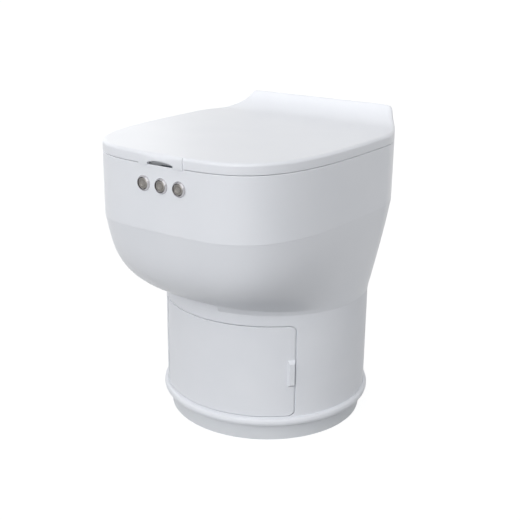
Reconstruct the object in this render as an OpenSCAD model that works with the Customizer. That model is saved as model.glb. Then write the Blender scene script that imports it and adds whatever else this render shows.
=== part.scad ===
// Electric waterless toilet that seals waste in film. A D-shaped bowl housing with a lid and a seat
// stands on a round pedestal, and a curved door in the pedestal gives access to the waste bin.
// Millimetres. The origin is on the floor at the pedestal's axis, +Z is up and the front faces -Y.

/* [Bowl housing] */
// Greatest width of the housing
body_w = 370; // [350:1:390]
// Reach of the housing in front of the pedestal axis
front_reach = 267; // [255:1:280]
// Reach of the housing behind the pedestal axis
rear_reach = 156; // [150:1:162]
// Where the housing is widest, behind the pedestal axis
widest_y = 52; // [46:1:58]
// Fullness of the front curve, 2 for an ellipse and more for a squarer one
front_power = 3.8; // [3.4:0.1:4.2]
// Share of the half width that the sides lose towards the rear
rear_pinch = 0.245; // [0.2:0.005:0.28]
// Power of the curve by which the sides draw in towards the rear
pinch_power = 1.55; // [1.4:0.05:1.8]
// Radius of the rear corners
corner_r = 16; // [12:1:20]
// Height of the housing's upper edge above the floor
rim_z = 454; // [450:1:460]
// Height of the upright band, from the upper edge to where the bulge begins
band_h = 96; // [90:1:104]
// Height of the housing's lower edge on the pedestal
edge_z = 213.8; // [210:0.2:216]
// How far the bulge stays clear of the lower edge at the sides and rear
skirt_h = 3; // [2:0.5:4]
// How much higher the bulge ends at the front
front_lift = 9.5; // [8:0.5:12]
// How far the lower edge flares out to the bulge at the front
front_flare = 7; // [4:0.5:9]
// Wall thickness of the housing
shell_t = 3.5; // [3:0.1:4]
// Straight part of the bulge's fall at the front, the rest is curved
bulge_slant = 0.25; // [0.2:0.01:0.3]
// Straight part of the bulge's fall at the sides and rear
bulge_side_slant = 0.6; // [0.5:0.01:0.7]
// Power of the bulge's curve at the front
bulge_front = 4.5; // [4:0.1:5]
// Power of the bulge's curve at the sides and rear
bulge_side = 1.5; // [1.3:0.1:1.8]

/* [Key notch] */
// Direction of the notch's middle, in degrees from the front
notch_dir = -20; // [-22:1:-18]
// Width of the notch across its chord
notch_w = 160; // [150:1:166]
// Height of the notch
notch_h = 11.5; // [10:0.5:12.5]
// Gap between the notch and the tongue in it
notch_gap = 0.6; // [0.5:0.1:0.8]

/* [Lid] */
// Gap between the lid and the housing's upper edge
lid_gap = 0.8; // [0.6:0.1:1]
// Height of the lid's flat top above the housing's upper edge
lid_rise = 17; // [15:0.5:19]
// Height of the lid's raised rear edge above its flat top
wedge_rise = 28; // [23:1:31]
// Where the ramp up to the rear edge begins, behind the pedestal axis
ramp_y = 84; // [80:1:90]
// Power of the ramp's hollow curve
ramp_power = 3; // [2.6:0.1:3.4]
// Lean of the ramp's sides, in millimetres inward for each millimetre of rise
ramp_lean = 0.12; // [0.08:0.01:0.16]
// Radius of the lid's upper edge
lid_edge_r = 5; // [4:0.5:6]
// Radius of the raised rear edge
ridge_r = 2.4; // [2:0.1:3]
// Wall thickness of the lid
lid_t = 3; // [2.6:0.1:3.4]
// Width of the lift tab on the lid's front
tab_w = 78; // [72:1:84]
// How far the tab stands proud of the lid
tab_proud = 2.2; // [1.8:0.1:2.8]
// How far the tab hangs below the lid's lower edge
tab_drop = 1.6; // [1.2:0.1:2.2]
// Width of the finger slot under the tab
slot_w = 46; // [40:1:52]
// Height of the finger slot at its ends
slot_end_h = 3; // [2.5:0.1:3.5]
// Height of the finger slot at its middle
slot_mid_h = 6.5; // [5.5:0.5:7.5]

/* [Seat and rear hinge] */
// Gap between the seat's outer edge and the inside of the lid
seat_gap = 3; // [2.5:0.5:4]
// Depth of the seat's underside below the housing's upper edge
seat_sink = 3.5; // [3:0.1:4]
// Thickness of the seat
seat_t = 14; // [13:0.5:14.5]
// Half width of the seat's opening
seat_hole_a = 104; // [98:1:108]
// Half length of the seat's opening
seat_hole_b = 134; // [126:1:138]
// Width of the finger recess in the seat's front edge
recess_w = 52; // [46:1:58]
// Depth of the finger recess
recess_deep = 14; // [10:1:17]
// Where the seat ends, behind the pedestal axis
seat_rear = 118; // [112:1:124]
// Distance of the hinge axis behind the housing
hinge_out = 8; // [8:0.1:9]
// Height of the hinge axis above the housing's upper edge
hinge_up = 4; // [4:0.1:5]
// Outer radius of the hinge knuckles
knuckle_r = 6.6; // [6:0.1:6.8]
// Radius of the hinge pin
hinge_pin_r = 3; // [2.6:0.1:3.4]
// Radial clearance of the knuckles on the pin
hinge_fit = 0.07; // [0.05:0.01:0.09]
// Distance of the lid's knuckles from the middle
lid_knuckle_x = 34; // [30:1:38]
// Distance of the seat's knuckles from the middle
seat_knuckle_x = 66; // [62:1:70]
// Distance of the outer hinge lugs from the middle
lug_x = 90; // [86:1:94]
// Width of a knuckle
knuckle_w = 18; // [16:1:20]

/* [Bowl and liner film] */
// Where the seat's opening and the bowl are centred, in front of the pedestal axis
bowl_y = -70; // [-74:1:-66]
// Half width of the bowl's mouth, outside
bowl_a = 111; // [108:1:113]
// Half length of the bowl's mouth, outside
bowl_b = 141; // [138:1:143]
// Wall thickness of the bowl
bowl_t = 3; // [2.5:0.1:3.5]
// Outer radius of the throat
throat_r = 73; // [70:1:76]
// Height of the throat's lower end above the middle of the sealing jaws
throat_up = 37; // [34:1:42]
// Where the throat and the film's fold lie, in front of the pedestal axis
web_y = -30; // [-32:1:-28]
// Depth of the deck's upper face below the housing's upper edge
deck_sink = 14; // [13:0.5:16]
// Thickness of the deck
deck_t = 4; // [3.5:0.5:5]
// Width of the film cartridge's ring
cartridge_w = 19; // [17:1:21]
// Height of the film cartridge
cartridge_h = 7.6; // [7:0.1:8]
// Thickness of the film as modelled
film_t = 0.6; // [0.5:0.1:0.8]

/* [Push buttons] */
// Depth of the buttons below the housing's upper edge
button_sink = 28; // [24:1:32]
// Distance between the buttons
button_pitch = 31.5; // [29:0.5:34]
// Outer radius of a button's bezel
bezel_r = 11.3; // [10.8:0.1:11.8]
// How far the bezel stands proud
bezel_proud = 3; // [2.6:0.1:3.4]
// Radius of the threaded barrel behind the bezel
barrel_r = 9.5; // [9.3:0.1:9.7]
// Radius of the cap that is pressed
cap_r = 7.9; // [7.5:0.1:8.1]
// Travel of the cap
cap_travel = 1.5; // [1:0.1:2]
// Radial clearance of the cap in its barrel
cap_fit = 0.07; // [0.05:0.01:0.09]

/* [Pedestal] */
// Outer radius of the pedestal
pedestal_r = 168; // [166:0.5:169]
// Wall thickness of the pedestal
pedestal_t = 4; // [3.5:0.1:4.5]
// Height of the collar's lip, between the pedestal and the housing
collar_h = 3.8; // [3:0.2:6]
// How far the plinth stands back under the pedestal
plinth_back = 7; // [6:0.5:10]
// Height of the plinth
plinth_h = 28.8; // [26:0.2:31]
// Thickness of the plinth's floor pan and wall
plinth_t = 4; // [3:0.5:5]
// How far the base ring stands proud of the pedestal
ring_proud = 6; // [4:0.5:7]
// Height of the base ring
ring_h = 13.2; // [12:0.2:16]
// Distance of the floor screw holes inside the pedestal's outer face
floor_screw_in = 43; // [37:1:53]
// Radius of a floor screw hole
floor_screw_r = 3.25; // [2.5:0.05:4]

/* [Door] */
// Width of the door across its chord
door_w = 237; // [230:1:240]
// Distance of the door's middle to the right of the pedestal's
door_mid_x = 8.5; // [6:0.5:10]
// Height of the door's lower edge above the base ring
door_foot = 2; // [1.5:0.5:4]
// Distance of the door's upper edge below the pedestal's
door_head = 15; // [13:0.5:20]
// Radius of the door's corners
door_corner_r = 8; // [6:0.5:10]
// Gap round the door
door_gap = 1.2; // [1:0.1:1.4]
// Further gap at the door's hinged edge, into which it swings when open
hinge_side_gap = 1.6; // [1.4:0.1:2]
// Radius of the rolled edge on which the door turns
door_barrel_r = 4; // [3.6:0.1:4.4]
// Radius of the door's pins
door_pin_r = 2; // [1.8:0.1:2.2]
// Width of the door's pull
pull_w = 12; // [10:0.5:14]
// Height of the door's pull
pull_h = 46; // [42:1:52]
// How far the pull stands proud
pull_proud = 5; // [4:0.5:6]

/* [Waste bin] */
// Distance of the bin's rim inside the pedestal's outer face, at the bin's widest
bin_in = 60; // [57:1:65]
// Draft of the bin, from rim to foot
bin_draft = 14; // [10:1:18]
// Height of the bin
bin_h = 118; // [105:1:122]
// Wall thickness of the bin
bin_t = 2.5; // [2:0.1:3]
// Where the bin's axis stands, in front of the pedestal axis
bin_y = -36; // [-38:1:-32]

/* [Sealing unit] */
// Height of the sealing jaws' middle above the housing's lower edge
jaw_up = 34.2; // [33:0.2:37]
// Height of a jaw
jaw_h = 16; // [14:0.5:17]
// Opening between the jaws at rest
jaw_travel = 37; // [34:0.5:39]
// Radius of a guide rod
rod_r = 4; // [3.6:0.1:4.2]
// Height of the feed rollers' axes above the housing's lower edge
roller_up = 8.2; // [7:0.2:9.2]
// Distance between the feed rollers' axes
roller_pitch = 30; // [29:0.5:31]
// Radial gap between each roller and the film's middle plane
nip_gap = 0.8; // [0.6:0.1:1]
// Radius of the roller shafts
shaft_r = 4; // [3.6:0.1:4.4]
// Radial clearance of shafts and rods in their bushes
shaft_fit = 0.06; // [0.04:0.01:0.09]
// Number of teeth on each roller gear
gear_teeth = 20; // [16:4:24]
// Distance of the side plates' inner faces inside the pedestal's outer face
plate_in = 46; // [44:0.5:53]
// Thickness of the side plates
plate_t = 4; // [3:0.5:4.5]

/* [Hidden] */

$fn = 180;
// A hair more, so that cuts and joined solids have no shared faces
eps = 0.01;
half_w = body_w / 2;
band_z = rim_z - band_h;
lid_z = rim_z + lid_rise;
wedge_z = lid_z + wedge_rise;
seat_z = rim_z - seat_sink;
deck_z = rim_z - deck_sink;
button_z = rim_z - button_sink;
jaw_z = edge_z + jaw_up;
throat_z = jaw_z + throat_up;
roller_z = edge_z + roller_up;
pedestal_z = edge_z - collar_h;
pedestal_in = pedestal_r - pedestal_t;
plinth_r = pedestal_r - plinth_back;
ring_r = pedestal_r + ring_proud;
ring_z = plinth_h + ring_h;
door_z0 = ring_z + door_foot;
door_z1 = pedestal_z - door_head;
floor_screw_circle_r = pedestal_r - floor_screw_in;
bin_r = pedestal_r - bin_in;
plate_x = pedestal_r - plate_in;
jaw_x = plate_x - 2;
rod_x = plate_x - 9;
// The housing's lower edge stands a little proud of the pedestal
edge_r = pedestal_r + 1;
// Clear space between a piece and the wall that it drops into
seat_clear = 0.3;
web_t = film_t / 2;

// Plan of the housing, as a list of points from the front middle round by the right
front_steps = 20;
side_steps = 7;
corner_steps = 4;
rear_steps = 5;
side_slope = half_w * rear_pinch * pinch_power / (rear_reach - widest_y);
corner_from = atan(side_slope);
corner_y = rear_reach - corner_r;
side_end_y = corner_y + corner_r * sin(corner_from);
function side_x(y) = half_w * (1 - rear_pinch * pow((y - widest_y) / (rear_reach - widest_y), pinch_power));
corner_x = side_x(side_end_y) - corner_r * cos(corner_from);
function full_r(a) = 1 / pow(pow(sin(a), front_power) + pow(cos(a), front_power), 1 / front_power);
right_plan = concat(
  [for (i = [0 : front_steps]) let (a = 90 * i / front_steps, r = full_r(a))
    [half_w * r * sin(a), widest_y - (widest_y + front_reach) * r * cos(a)]],
  [for (i = [1 : side_steps]) let (y = widest_y + (side_end_y - widest_y) * i / side_steps) [side_x(y), y]],
  [for (i = [1 : corner_steps]) let (a = corner_from + (90 - corner_from) * i / corner_steps)
    [corner_x + corner_r * cos(a), corner_y + corner_r * sin(a)]],
  [for (i = [1 : rear_steps]) [corner_x * (1 - i / rear_steps), rear_reach]]);
plan = concat(right_plan, [for (i = [len(right_plan) - 2 : -1 : 1]) [-right_plan[i].x, right_plan[i].y]]);
plan_n = len(plan);

// Unit normal of the plan at a point, pointing outward
function plan_normal(i) = let (d = plan[(i + 1) % plan_n] - plan[(i + plan_n - 1) % plan_n])
  [d.y, -d.x] / norm(d);
plan_normals = [for (i = [0 : plan_n - 1]) plan_normal(i)];
function inset_point(i, d) = plan[i] - d * plan_normals[i];
function inset_plan(d) = [for (i = [0 : plan_n - 1]) inset_point(i, d)];

// Skin through a stack of rings, lowest first, with the same number of points in each
module loft(rings) {
  n = len(rings[0]);
  last = len(rings) - 1;
  polyhedron(
    points = [for (ring = rings) for (p = ring) p],
    faces = concat(
      [[for (i = [0 : n - 1]) i]],
      [for (a = [0 : n : (last - 1) * n]) for (i = [0 : n - 1]) [a + i, a + n + i, a + n + (i + 1) % n]],
      [for (a = [0 : n : (last - 1) * n]) for (i = [0 : n - 1]) [a + i, a + n + (i + 1) % n, a + (i + 1) % n]],
      [[for (i = [n - 1 : -1 : 0]) last * n + i]]));
}

// Ring of an oval at a height, half sizes a and b, centred at y
function oval_ring(a, b, y, z, n = 60) = [for (i = [0 : n - 1]) let (t = 360 * i / n)
  [a * sin(t), y - b * cos(t), z]];
module oval_plate(a, b, y, z0, z1) translate([0, 0, z0]) linear_extrude(z1 - z0)
  polygon([for (p = oval_ring(a, b, y, 0, 72)) [p.x, p.y]]);
module plan_plate(d, z0, z1) translate([0, 0, z0]) linear_extrude(z1 - z0) polygon(inset_plan(d));
module tube(r_out, r_in, z0, z1) translate([0, 0, z0]) rotate_extrude()
  translate([r_in, 0]) square([r_out - r_in, z1 - z0]);

// Cylinders along X and along Y, from one station to the other
module x_rod(r, x0, x1, y, z) translate([x0, y, z]) rotate([0, 90, 0]) cylinder(r = r, h = x1 - x0);
module y_rod(r, x, y0, y1, z) translate([x, y0, z]) rotate([-90, 0, 0]) cylinder(r = r, h = y1 - y0);
module box(low, high) translate(low) cube(high - low);

// Bulge of the lower shell: a blend from the plan at the band to a circle on the pedestal
bulge_focus = 4.9;
slant_focus = 8;
bulge_depths = [1, 0.95, 0.89, 0.82, 0.74, 0.64, 0.52, 0.38, 0.2, 0];
function around(p) = atan2(p.x, -p.y);
function front_share(p) = pow((1 + cos(around(p))) / 2, bulge_focus);
function bulge_z(p) = edge_z + skirt_h + front_lift * front_share(p);
function bulge_point(p, d, r, wall) = let (
    share = front_share(p),
    power = bulge_side + (bulge_front - bulge_side) * share,
    slant = bulge_slant + (bulge_side_slant - bulge_slant) * pow(1 - share, slant_focus),
    spread = 1 - (slant * d + (1 - slant) * pow(d, power)),
    foot = (r + front_flare * share) * [sin(around(p)), -cos(around(p))],
    q = foot + (p - foot) * spread,
    low_z = bulge_z(p) + wall * share)
  [q.x, q.y, band_z - (band_z - low_z) * d];
function bulge_rings(wall) = [for (d = bulge_depths)
  [for (i = [0 : plan_n - 1]) bulge_point(inset_point(i, wall), d, edge_r - wall, wall)]];
function foot_ring(r, z) = [for (p = plan) [r * sin(around(p)), -r * cos(around(p)), z]];

// Rounded bar that fills or cuts the key notch, long enough to cross the pedestal's wall
notch_drop = 0.6;
module notch_bar(gap) rotate([0, 0, notch_dir])
  translate([0, -edge_r * 0.75, edge_z - notch_drop + notch_h / 2]) rotate([90, 0, 0])
    linear_extrude(edge_r / 2) union() {
      square([notch_w - notch_h, notch_h - 2 * gap], center = true);
      for (side = [-1, 1]) translate([side * (notch_w - notch_h) / 2, 0]) circle(r = notch_h / 2 - gap);
    }

// Plinth and pedestal
module plinth() color("gainsboro") difference() {
  union() {
    cylinder(r = plinth_r, h = plinth_t);
    tube(plinth_r, plinth_r - plinth_t, plinth_t - eps, plinth_h);
  }
  for (a = [45 : 90 : 315]) rotate([0, 0, a]) translate([floor_screw_circle_r, 0, -1])
    cylinder(r = floor_screw_r, h = plinth_t + 2, $fn = 32);
}

ring_lip_t = 1.2;
ring_lip_in = plinth_r - plinth_t - 2;
ring_bore = pedestal_r + 0.2;
ring_bulge_r = (ring_z - plinth_h) / 2;
module base_ring() color("whitesmoke") rotate_extrude() union() {
  translate([ring_lip_in, plinth_h]) square([ring_bore + 1 - ring_lip_in, ring_lip_t]);
  intersection() {
    translate([ring_bore, plinth_h]) square([ring_r - ring_bore, ring_z - plinth_h]);
    translate([ring_r - ring_bulge_r, plinth_h + ring_bulge_r]) circle(r = ring_bulge_r, $fn = 48);
  }
}

module door_blank(grow, y0) translate([0, y0, 0]) rotate([90, 0, 0]) linear_extrude(pedestal_r + 40)
  translate([door_mid_x, (door_z0 + door_z1) / 2]) union() {
    w = door_w + 2 * grow;
    h = door_z1 - door_z0 + 2 * grow;
    r = door_corner_r + grow;
    square([w - 2 * r, h], center = true);
    square([w, h - 2 * r], center = true);
    for (x = [-1, 1]) for (z = [-1, 1]) translate([x * (w / 2 - r), z * (h / 2 - r)]) circle(r = r, $fn = 48);
  }

// The door turns about a rolled edge whose centre lies in the pedestal's inner face
door_axis_x = door_mid_x - door_w / 2 + door_barrel_r;
door_axis_r = pedestal_r - door_barrel_r;
door_axis_y = -sqrt(door_axis_r * door_axis_r - door_axis_x * door_axis_x);
module door_axis_rod(r, z0, z1) translate([door_axis_x, door_axis_y, z0])
  cylinder(r = r, h = z1 - z0, $fn = 48);

// Each pin stands in a lug inside the pedestal and in a groove of the wall beside it
pin_len = 12;
lug_size = 14;
lug_h = 7;
lug_zs = [door_z0 - door_gap - lug_h, door_z1 + door_gap];
module lug_blocks(grow) for (z = lug_zs) translate([door_axis_x, door_axis_y, z])
  box([-lug_size / 2 - grow, -lug_size / 2 - grow, -grow],
    [lug_size / 2 + grow, lug_size + grow, lug_h + grow]);
module pedestal_shell() color("whitesmoke") difference() {
  tube(pedestal_r, pedestal_in, plinth_h + ring_lip_t, pedestal_z);
  door_blank(door_gap, 0);
  box([door_mid_x - door_w / 2 - door_gap - hinge_side_gap, -pedestal_r - 1, door_z0 - door_gap],
    [door_axis_x, 0, door_z1 + door_gap]);
  door_axis_rod(door_barrel_r + door_gap, door_z0 - door_gap, door_z1 + door_gap);
  door_axis_rod(door_pin_r, lug_zs[0], lug_zs[1] + lug_h);
}
module door_hinge_lugs() color("lightgray") difference() {
  intersection() {
    lug_blocks(0);
    cylinder(r = pedestal_in - eps, h = pedestal_z);
  }
  door_axis_rod(door_pin_r, 0, pedestal_z);
}
module door_pins() color("silver") {
  door_axis_rod(door_pin_r, lug_zs[0], door_z0 + pin_len);
  door_axis_rod(door_pin_r, door_z1 - pin_len, lug_zs[1] + lug_h);
}

floor_t = 4;
floor_top_z = door_z0;
floor_leg_r = 12;
floor_leg_at = floor_screw_circle_r - 30;
module bin_floor() color("lightgray") {
  difference() {
    translate([0, 0, floor_top_z - floor_t]) cylinder(r = pedestal_in - seat_clear, h = floor_t);
    lug_blocks(seat_clear);
    door_axis_rod(door_barrel_r + seat_clear, 0, rim_z);
  }
  for (a = [0 : 90 : 270]) rotate([0, 0, a]) translate([floor_leg_at, 0, plinth_t])
    cylinder(r = floor_leg_r, h = floor_top_z - floor_t - plinth_t + eps, $fn = 48);
}

bin_rim_w = 6;
module waste_bin() color("dimgray") translate([0, bin_y, floor_top_z]) rotate_extrude() {
  body_top = bin_r - bin_rim_w;
  foot = body_top - bin_draft;
  polygon([[0, 0], [foot, 0], [body_top, bin_h - bin_t], [bin_r, bin_h - bin_t], [bin_r, bin_h],
    [body_top - bin_t, bin_h], [foot - bin_t, bin_t], [0, bin_t]]);
}

module door() color("whitesmoke") difference() {
  union() {
    intersection() {
      tube(pedestal_r, pedestal_in, door_z0, door_z1);
      door_blank(0, 0);
      box([door_axis_x, -pedestal_r - 1, 0], [pedestal_r, 0, rim_z]);
    }
    door_axis_rod(door_barrel_r, door_z0, door_z1);
  }
  door_axis_rod(door_pin_r + hinge_fit, door_z0 - 1, door_z0 + pin_len + 1);
  door_axis_rod(door_pin_r + hinge_fit, door_z1 - pin_len - 1, door_z1 + 1);
}

// Direction, in degrees from the front, of the door's free edge
door_edge_a = asin((door_mid_x + door_w / 2) / pedestal_r);
pull_slope_w = 2;
pull_slope_h = 5;
pull_mid_z = (door_z0 + door_z1) / 2 - 3;
// The pull covers the door's gap by a little
pull_over = 1;
pull_a = door_edge_a - asin((pull_w / 2 - pull_over) / pedestal_r);
function pull_ring(w, h, out) = [[-w / 2, pull_mid_z - h / 2, out], [w / 2, pull_mid_z - h / 2, out],
  [w / 2, pull_mid_z + h / 2, out], [-w / 2, pull_mid_z + h / 2, out]];
module door_pull() color("whitesmoke") rotate([0, 0, pull_a]) difference() {
  rotate([90, 0, 0]) loft([pull_ring(pull_w, pull_h, pedestal_r - 1), pull_ring(pull_w, pull_h, pedestal_r),
    pull_ring(pull_w - 2 * pull_slope_w, pull_h - 2 * pull_slope_h, pedestal_r + pull_proud)]);
  cylinder(r = pedestal_r, h = rim_z);
}

catch_z0 = pull_mid_z - 15;
catch_z1 = pull_mid_z + 15;
catch_arm = 14;
catch_foot = 9;
catch_end = 21;
catch_back_y = -pedestal_in + 11;
plate_depth = 3;
strike_x0 = -12;
strike_x1 = -1;
module in_pedestal(turn) rotate([0, 0, turn]) intersection() {
  children();
  cylinder(r = pedestal_in - eps, h = rim_z);
}
module magnet_catch() color("dimgray") in_pedestal(door_edge_a) {
  box([-catch_arm, -pedestal_in + plate_depth + seat_clear, catch_z0], [catch_end, catch_back_y, catch_z1]);
  box([catch_foot, -pedestal_in, catch_z0], [catch_end, catch_back_y, catch_z1]);
}
module strike_plate() color("silver") in_pedestal(door_edge_a)
  box([strike_x0, -pedestal_in, catch_z0], [strike_x1, -pedestal_in + plate_depth, catch_z1]);

// Collar between the pedestal and the housing
collar_lip_in = pedestal_r - 15;
collar_t = 2.7;
collar_up = 12;
collar_down = 9;
// The housing draws in a little above its lower edge at the rear
collar_fit = 2;
collar_in = edge_r - shell_t - collar_fit - collar_t;
collar_ledge_z = edge_z;
module collar() color("whitesmoke") {
  tube(pedestal_r, collar_lip_in, pedestal_z, collar_ledge_z);
  tube(edge_r - shell_t - collar_fit, collar_in, collar_ledge_z - eps, collar_ledge_z + collar_up);
  difference() {
    tube(pedestal_in - seat_clear, pedestal_in - 3.5, pedestal_z - collar_down, pedestal_z + eps);
    lug_blocks(seat_clear);
  }
  intersection() {
    notch_bar(notch_gap);
    tube(pedestal_r, collar_in + 1, collar_ledge_z - 2, collar_ledge_z + collar_up);
  }
}

module lower_shell() color("white") difference() {
  loft(concat([foot_ring(edge_r, edge_z)], bulge_rings(0)));
  loft(concat([foot_ring(edge_r - shell_t, edge_z - 1)], bulge_rings(shell_t),
    [[for (i = [0 : plan_n - 1]) concat(inset_point(i, shell_t), band_z + 1)]]));
  intersection() {
    notch_bar(0);
    tube(edge_r + front_flare, collar_in, edge_z - 2, edge_z + notch_h);
  }
}

front_wall_y = -front_reach;
spigot_gap = 1;
spigot_t = 2;
spigot_h = 5;
// Narrower than the corner radius leaves after the wall
ledge_w = 8;
screw_inset = shell_t + ledge_w / 2 + 0.5;
deck_screw_r = 2;
deck_screw_points = [10, 24, plan_n - 24, plan_n - 10];
deck_screw_spots = [for (i = deck_screw_points) inset_point(i, screw_inset)];
nut_t = 4;
nut_y = front_wall_y + shell_t + 0.4;
nut_flat_r = 10.9;
button_xs = [-button_pitch, 0, button_pitch];
ledge_break = 20;
ledge_break_deep = 60;
inlet_x = 92;
inlet_z = 384;
inlet_r = 8;
module upper_shell() color("white") difference() {
  union() {
    difference() {
      plan_plate(0, band_z, rim_z);
      plan_plate(shell_t, band_z - 1, rim_z + 1);
    }
    difference() {
      plan_plate(shell_t - 0.5, band_z, band_z + spigot_h);
      plan_plate(shell_t + spigot_gap + spigot_t, band_z - 1, band_z + spigot_h + 1);
    }
    difference() {
      plan_plate(shell_t + spigot_gap, band_z - spigot_h, band_z + eps);
      plan_plate(shell_t + spigot_gap + spigot_t, band_z - spigot_h - 1, band_z + 1);
    }
    difference() {
      plan_plate(shell_t - 0.5, deck_z - 2 * deck_t, deck_z - deck_t);
      plan_plate(shell_t + ledge_w, deck_z - 2 * deck_t - 1, deck_z - deck_t + 1);
      box([-button_pitch - ledge_break, -front_reach, 0],
        [button_pitch + ledge_break, -front_reach + ledge_break_deep, rim_z]);
    }
  }
  for (x = button_xs) y_rod(barrel_r + 0.2, x, -front_reach - 5, -front_reach + shell_t + 5, button_z);
  for (p = deck_screw_spots) translate([p.x, p.y, 0]) cylinder(r = deck_screw_r, h = rim_z, $fn = 32);
  y_rod(inlet_r + 0.2, inlet_x, rear_reach - shell_t - 5, rear_reach + 5, inlet_z);
  for (x = hinge_screw_xs) hinge_screw_hole(x);
}

module deck() color("white") difference() {
  plan_plate(shell_t + seat_clear, deck_z - deck_t, deck_z);
  oval_plate(bowl_a + 1, bowl_b + 1, bowl_y, deck_z - deck_t - 1, deck_z + 1);
  for (p = deck_screw_spots) translate([p.x, p.y, 0]) cylinder(r = deck_screw_r + 0.2, h = rim_z, $fn = 32);
  box([-button_pitch - 16, -front_reach, 0], [button_pitch + 16, nut_y + nut_t + 1, rim_z]);
}
module pan_screw(r, len, head_r, head_h) {
  translate([0, 0, -len]) cylinder(r = r, h = len + eps, $fn = 32);
  rotate_extrude($fn = 32) intersection() {
    translate([0, 0]) square([head_r, head_h]);
    translate([0, head_h - 1.6 * head_r]) circle(r = 1.6 * head_r, $fn = 64);
  }
}
deck_screw_len = 10;
pan_head_r = 4;
pan_head_h = 2.4;
module deck_screws() color("silver") for (p = deck_screw_spots) translate([p.x, p.y, deck_z])
  pan_screw(deck_screw_r, deck_screw_len, pan_head_r, pan_head_h);

// Bowl, from its mouth to the throat, as half width, half length, centre and height
bowl_stations = [
  [throat_r, throat_r, web_y, throat_z],
  [throat_r + 2, throat_r + 5, web_y - 7, throat_z + 25],
  [bowl_a * 0.78, bowl_b * 0.70, bowl_y + 20, throat_z + 65],
  [bowl_a * 0.90, bowl_b * 0.865, bowl_y + 8, deck_z - 45],
  [bowl_a * 0.975, bowl_b * 0.965, bowl_y + 1, deck_z - 16],
  [bowl_a, bowl_b, bowl_y, deck_z + 1]];
function bowl_rings(inset) = [for (s = bowl_stations) oval_ring(s[0] - inset, s[1] - inset, s[2], s[3])];
flange_t = 2;
flange_w = 14;
module bowl() color("white") {
  difference() {
    loft(bowl_rings(0));
    loft(concat([oval_ring(throat_r - bowl_t, throat_r - bowl_t, web_y, throat_z - 1)], bowl_rings(bowl_t),
      [oval_ring(bowl_a - bowl_t, bowl_b - bowl_t, bowl_y, deck_z + 9)]));
  }
  difference() {
    oval_plate(bowl_a + flange_w, bowl_b + flange_w, bowl_y, deck_z, deck_z + flange_t);
    oval_plate(bowl_a - 0.5, bowl_b - 0.5, bowl_y, deck_z - 1, deck_z + flange_t + 1);
  }
}

case_z = deck_z + flange_t;
case_t = 1.5;
case_in = 1.5;
case_in_h = cartridge_h * 0.7;
module oval_band(grow_in, grow_out, z0, z1) difference() {
  oval_plate(bowl_a + grow_out, bowl_b + grow_out, bowl_y, z0, z1);
  oval_plate(bowl_a + grow_in, bowl_b + grow_in, bowl_y, z0 - 1, z1 + 1);
}
module cartridge_case() color("lightsteelblue") {
  oval_band(case_in, case_in + cartridge_w, case_z, case_z + case_t);
  oval_band(case_in, case_in + case_t, case_z + eps, case_z + case_in_h);
  oval_band(case_in + cartridge_w - case_t, case_in + cartridge_w, case_z + eps, case_z + cartridge_h);
}
module film_pack() color("aliceblue") oval_band(case_in + case_t + seat_clear,
  case_in + cartridge_w - case_t - seat_clear, case_z + case_t, case_z + cartridge_h - 0.6);

// The liner hangs inside the bowl, folds flat under the throat and runs between jaws and rollers
film_gap = 0.5;
bar_x = rod_x - rod_r - 0.5;
web_x = bar_x - 0.5;
fold_z = jaw_z + jaw_h / 2 + 6;
film_in = bowl_t + film_gap + film_t;
film_over = 0.6;
film_top_z = case_z + case_in_h;
film_tail = 30;
// The film spreads sideways below the throat, so its inner skin is drawn in there
throat_ease = 3 * film_t;
module liner_film() color("aliceblue") difference() {
  loft(concat([oval_ring(web_x, web_t, web_y, roller_z - film_tail), oval_ring(web_x, web_t, web_y, fold_z)],
    bowl_rings(bowl_t + film_gap), [oval_ring(bowl_a + film_over, bowl_b + film_over, bowl_y, film_top_z)]));
  loft(concat([oval_ring(web_x - 3, 0.05, web_y, fold_z + 1.5 * film_t)],
    [oval_ring(throat_r - film_in - throat_ease, throat_r - film_in, web_y, throat_z + film_t)],
    [for (i = [1 : len(bowl_stations) - 1]) let (s = bowl_stations[i])
      oval_ring(s[0] - film_in, s[1] - film_in, s[2], s[3])],
    [oval_ring(bowl_a + film_over - film_t, bowl_b + film_over - film_t, bowl_y, film_top_z + 1)]));
}

// Sealing unit
base_z = collar_ledge_z;
base_t = 3.2;
base_r = collar_in - seat_clear;
roller_ys = [web_y - roller_pitch / 2, web_y + roller_pitch / 2];
roller_r = roller_pitch / 2 - nip_gap;
plate_out = plate_x + plate_t;
fixed_face_y = web_y - web_t - 0.4;
closed_face_y = web_y + web_t + 0.4;
moving_face_y = closed_face_y + jaw_travel;
bar_t = 3;
jaw_t = 14;
front_plate_y = fixed_face_y - bar_t - jaw_t - plate_t;
rear_plate_y = 74;
side_plate_y = roller_ys[0] - 14;
plate_top = jaw_z + jaw_h / 2 + 2;
bush_t = 2.5;
gear_x = plate_out + 2.5;
gear_w = 8;
gear_tip = roller_pitch / 2 * (1 + 2 / gear_teeth) - 0.15;
gear_root = roller_pitch / 2 * (1 - 2.5 / gear_teeth);
rear_plate_z1 = jaw_z + 22;
module base_window(x0, x1, y0, y1) box([x0, y0, base_z - 1], [x1, y1, base_z + base_t + 1]);
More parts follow.
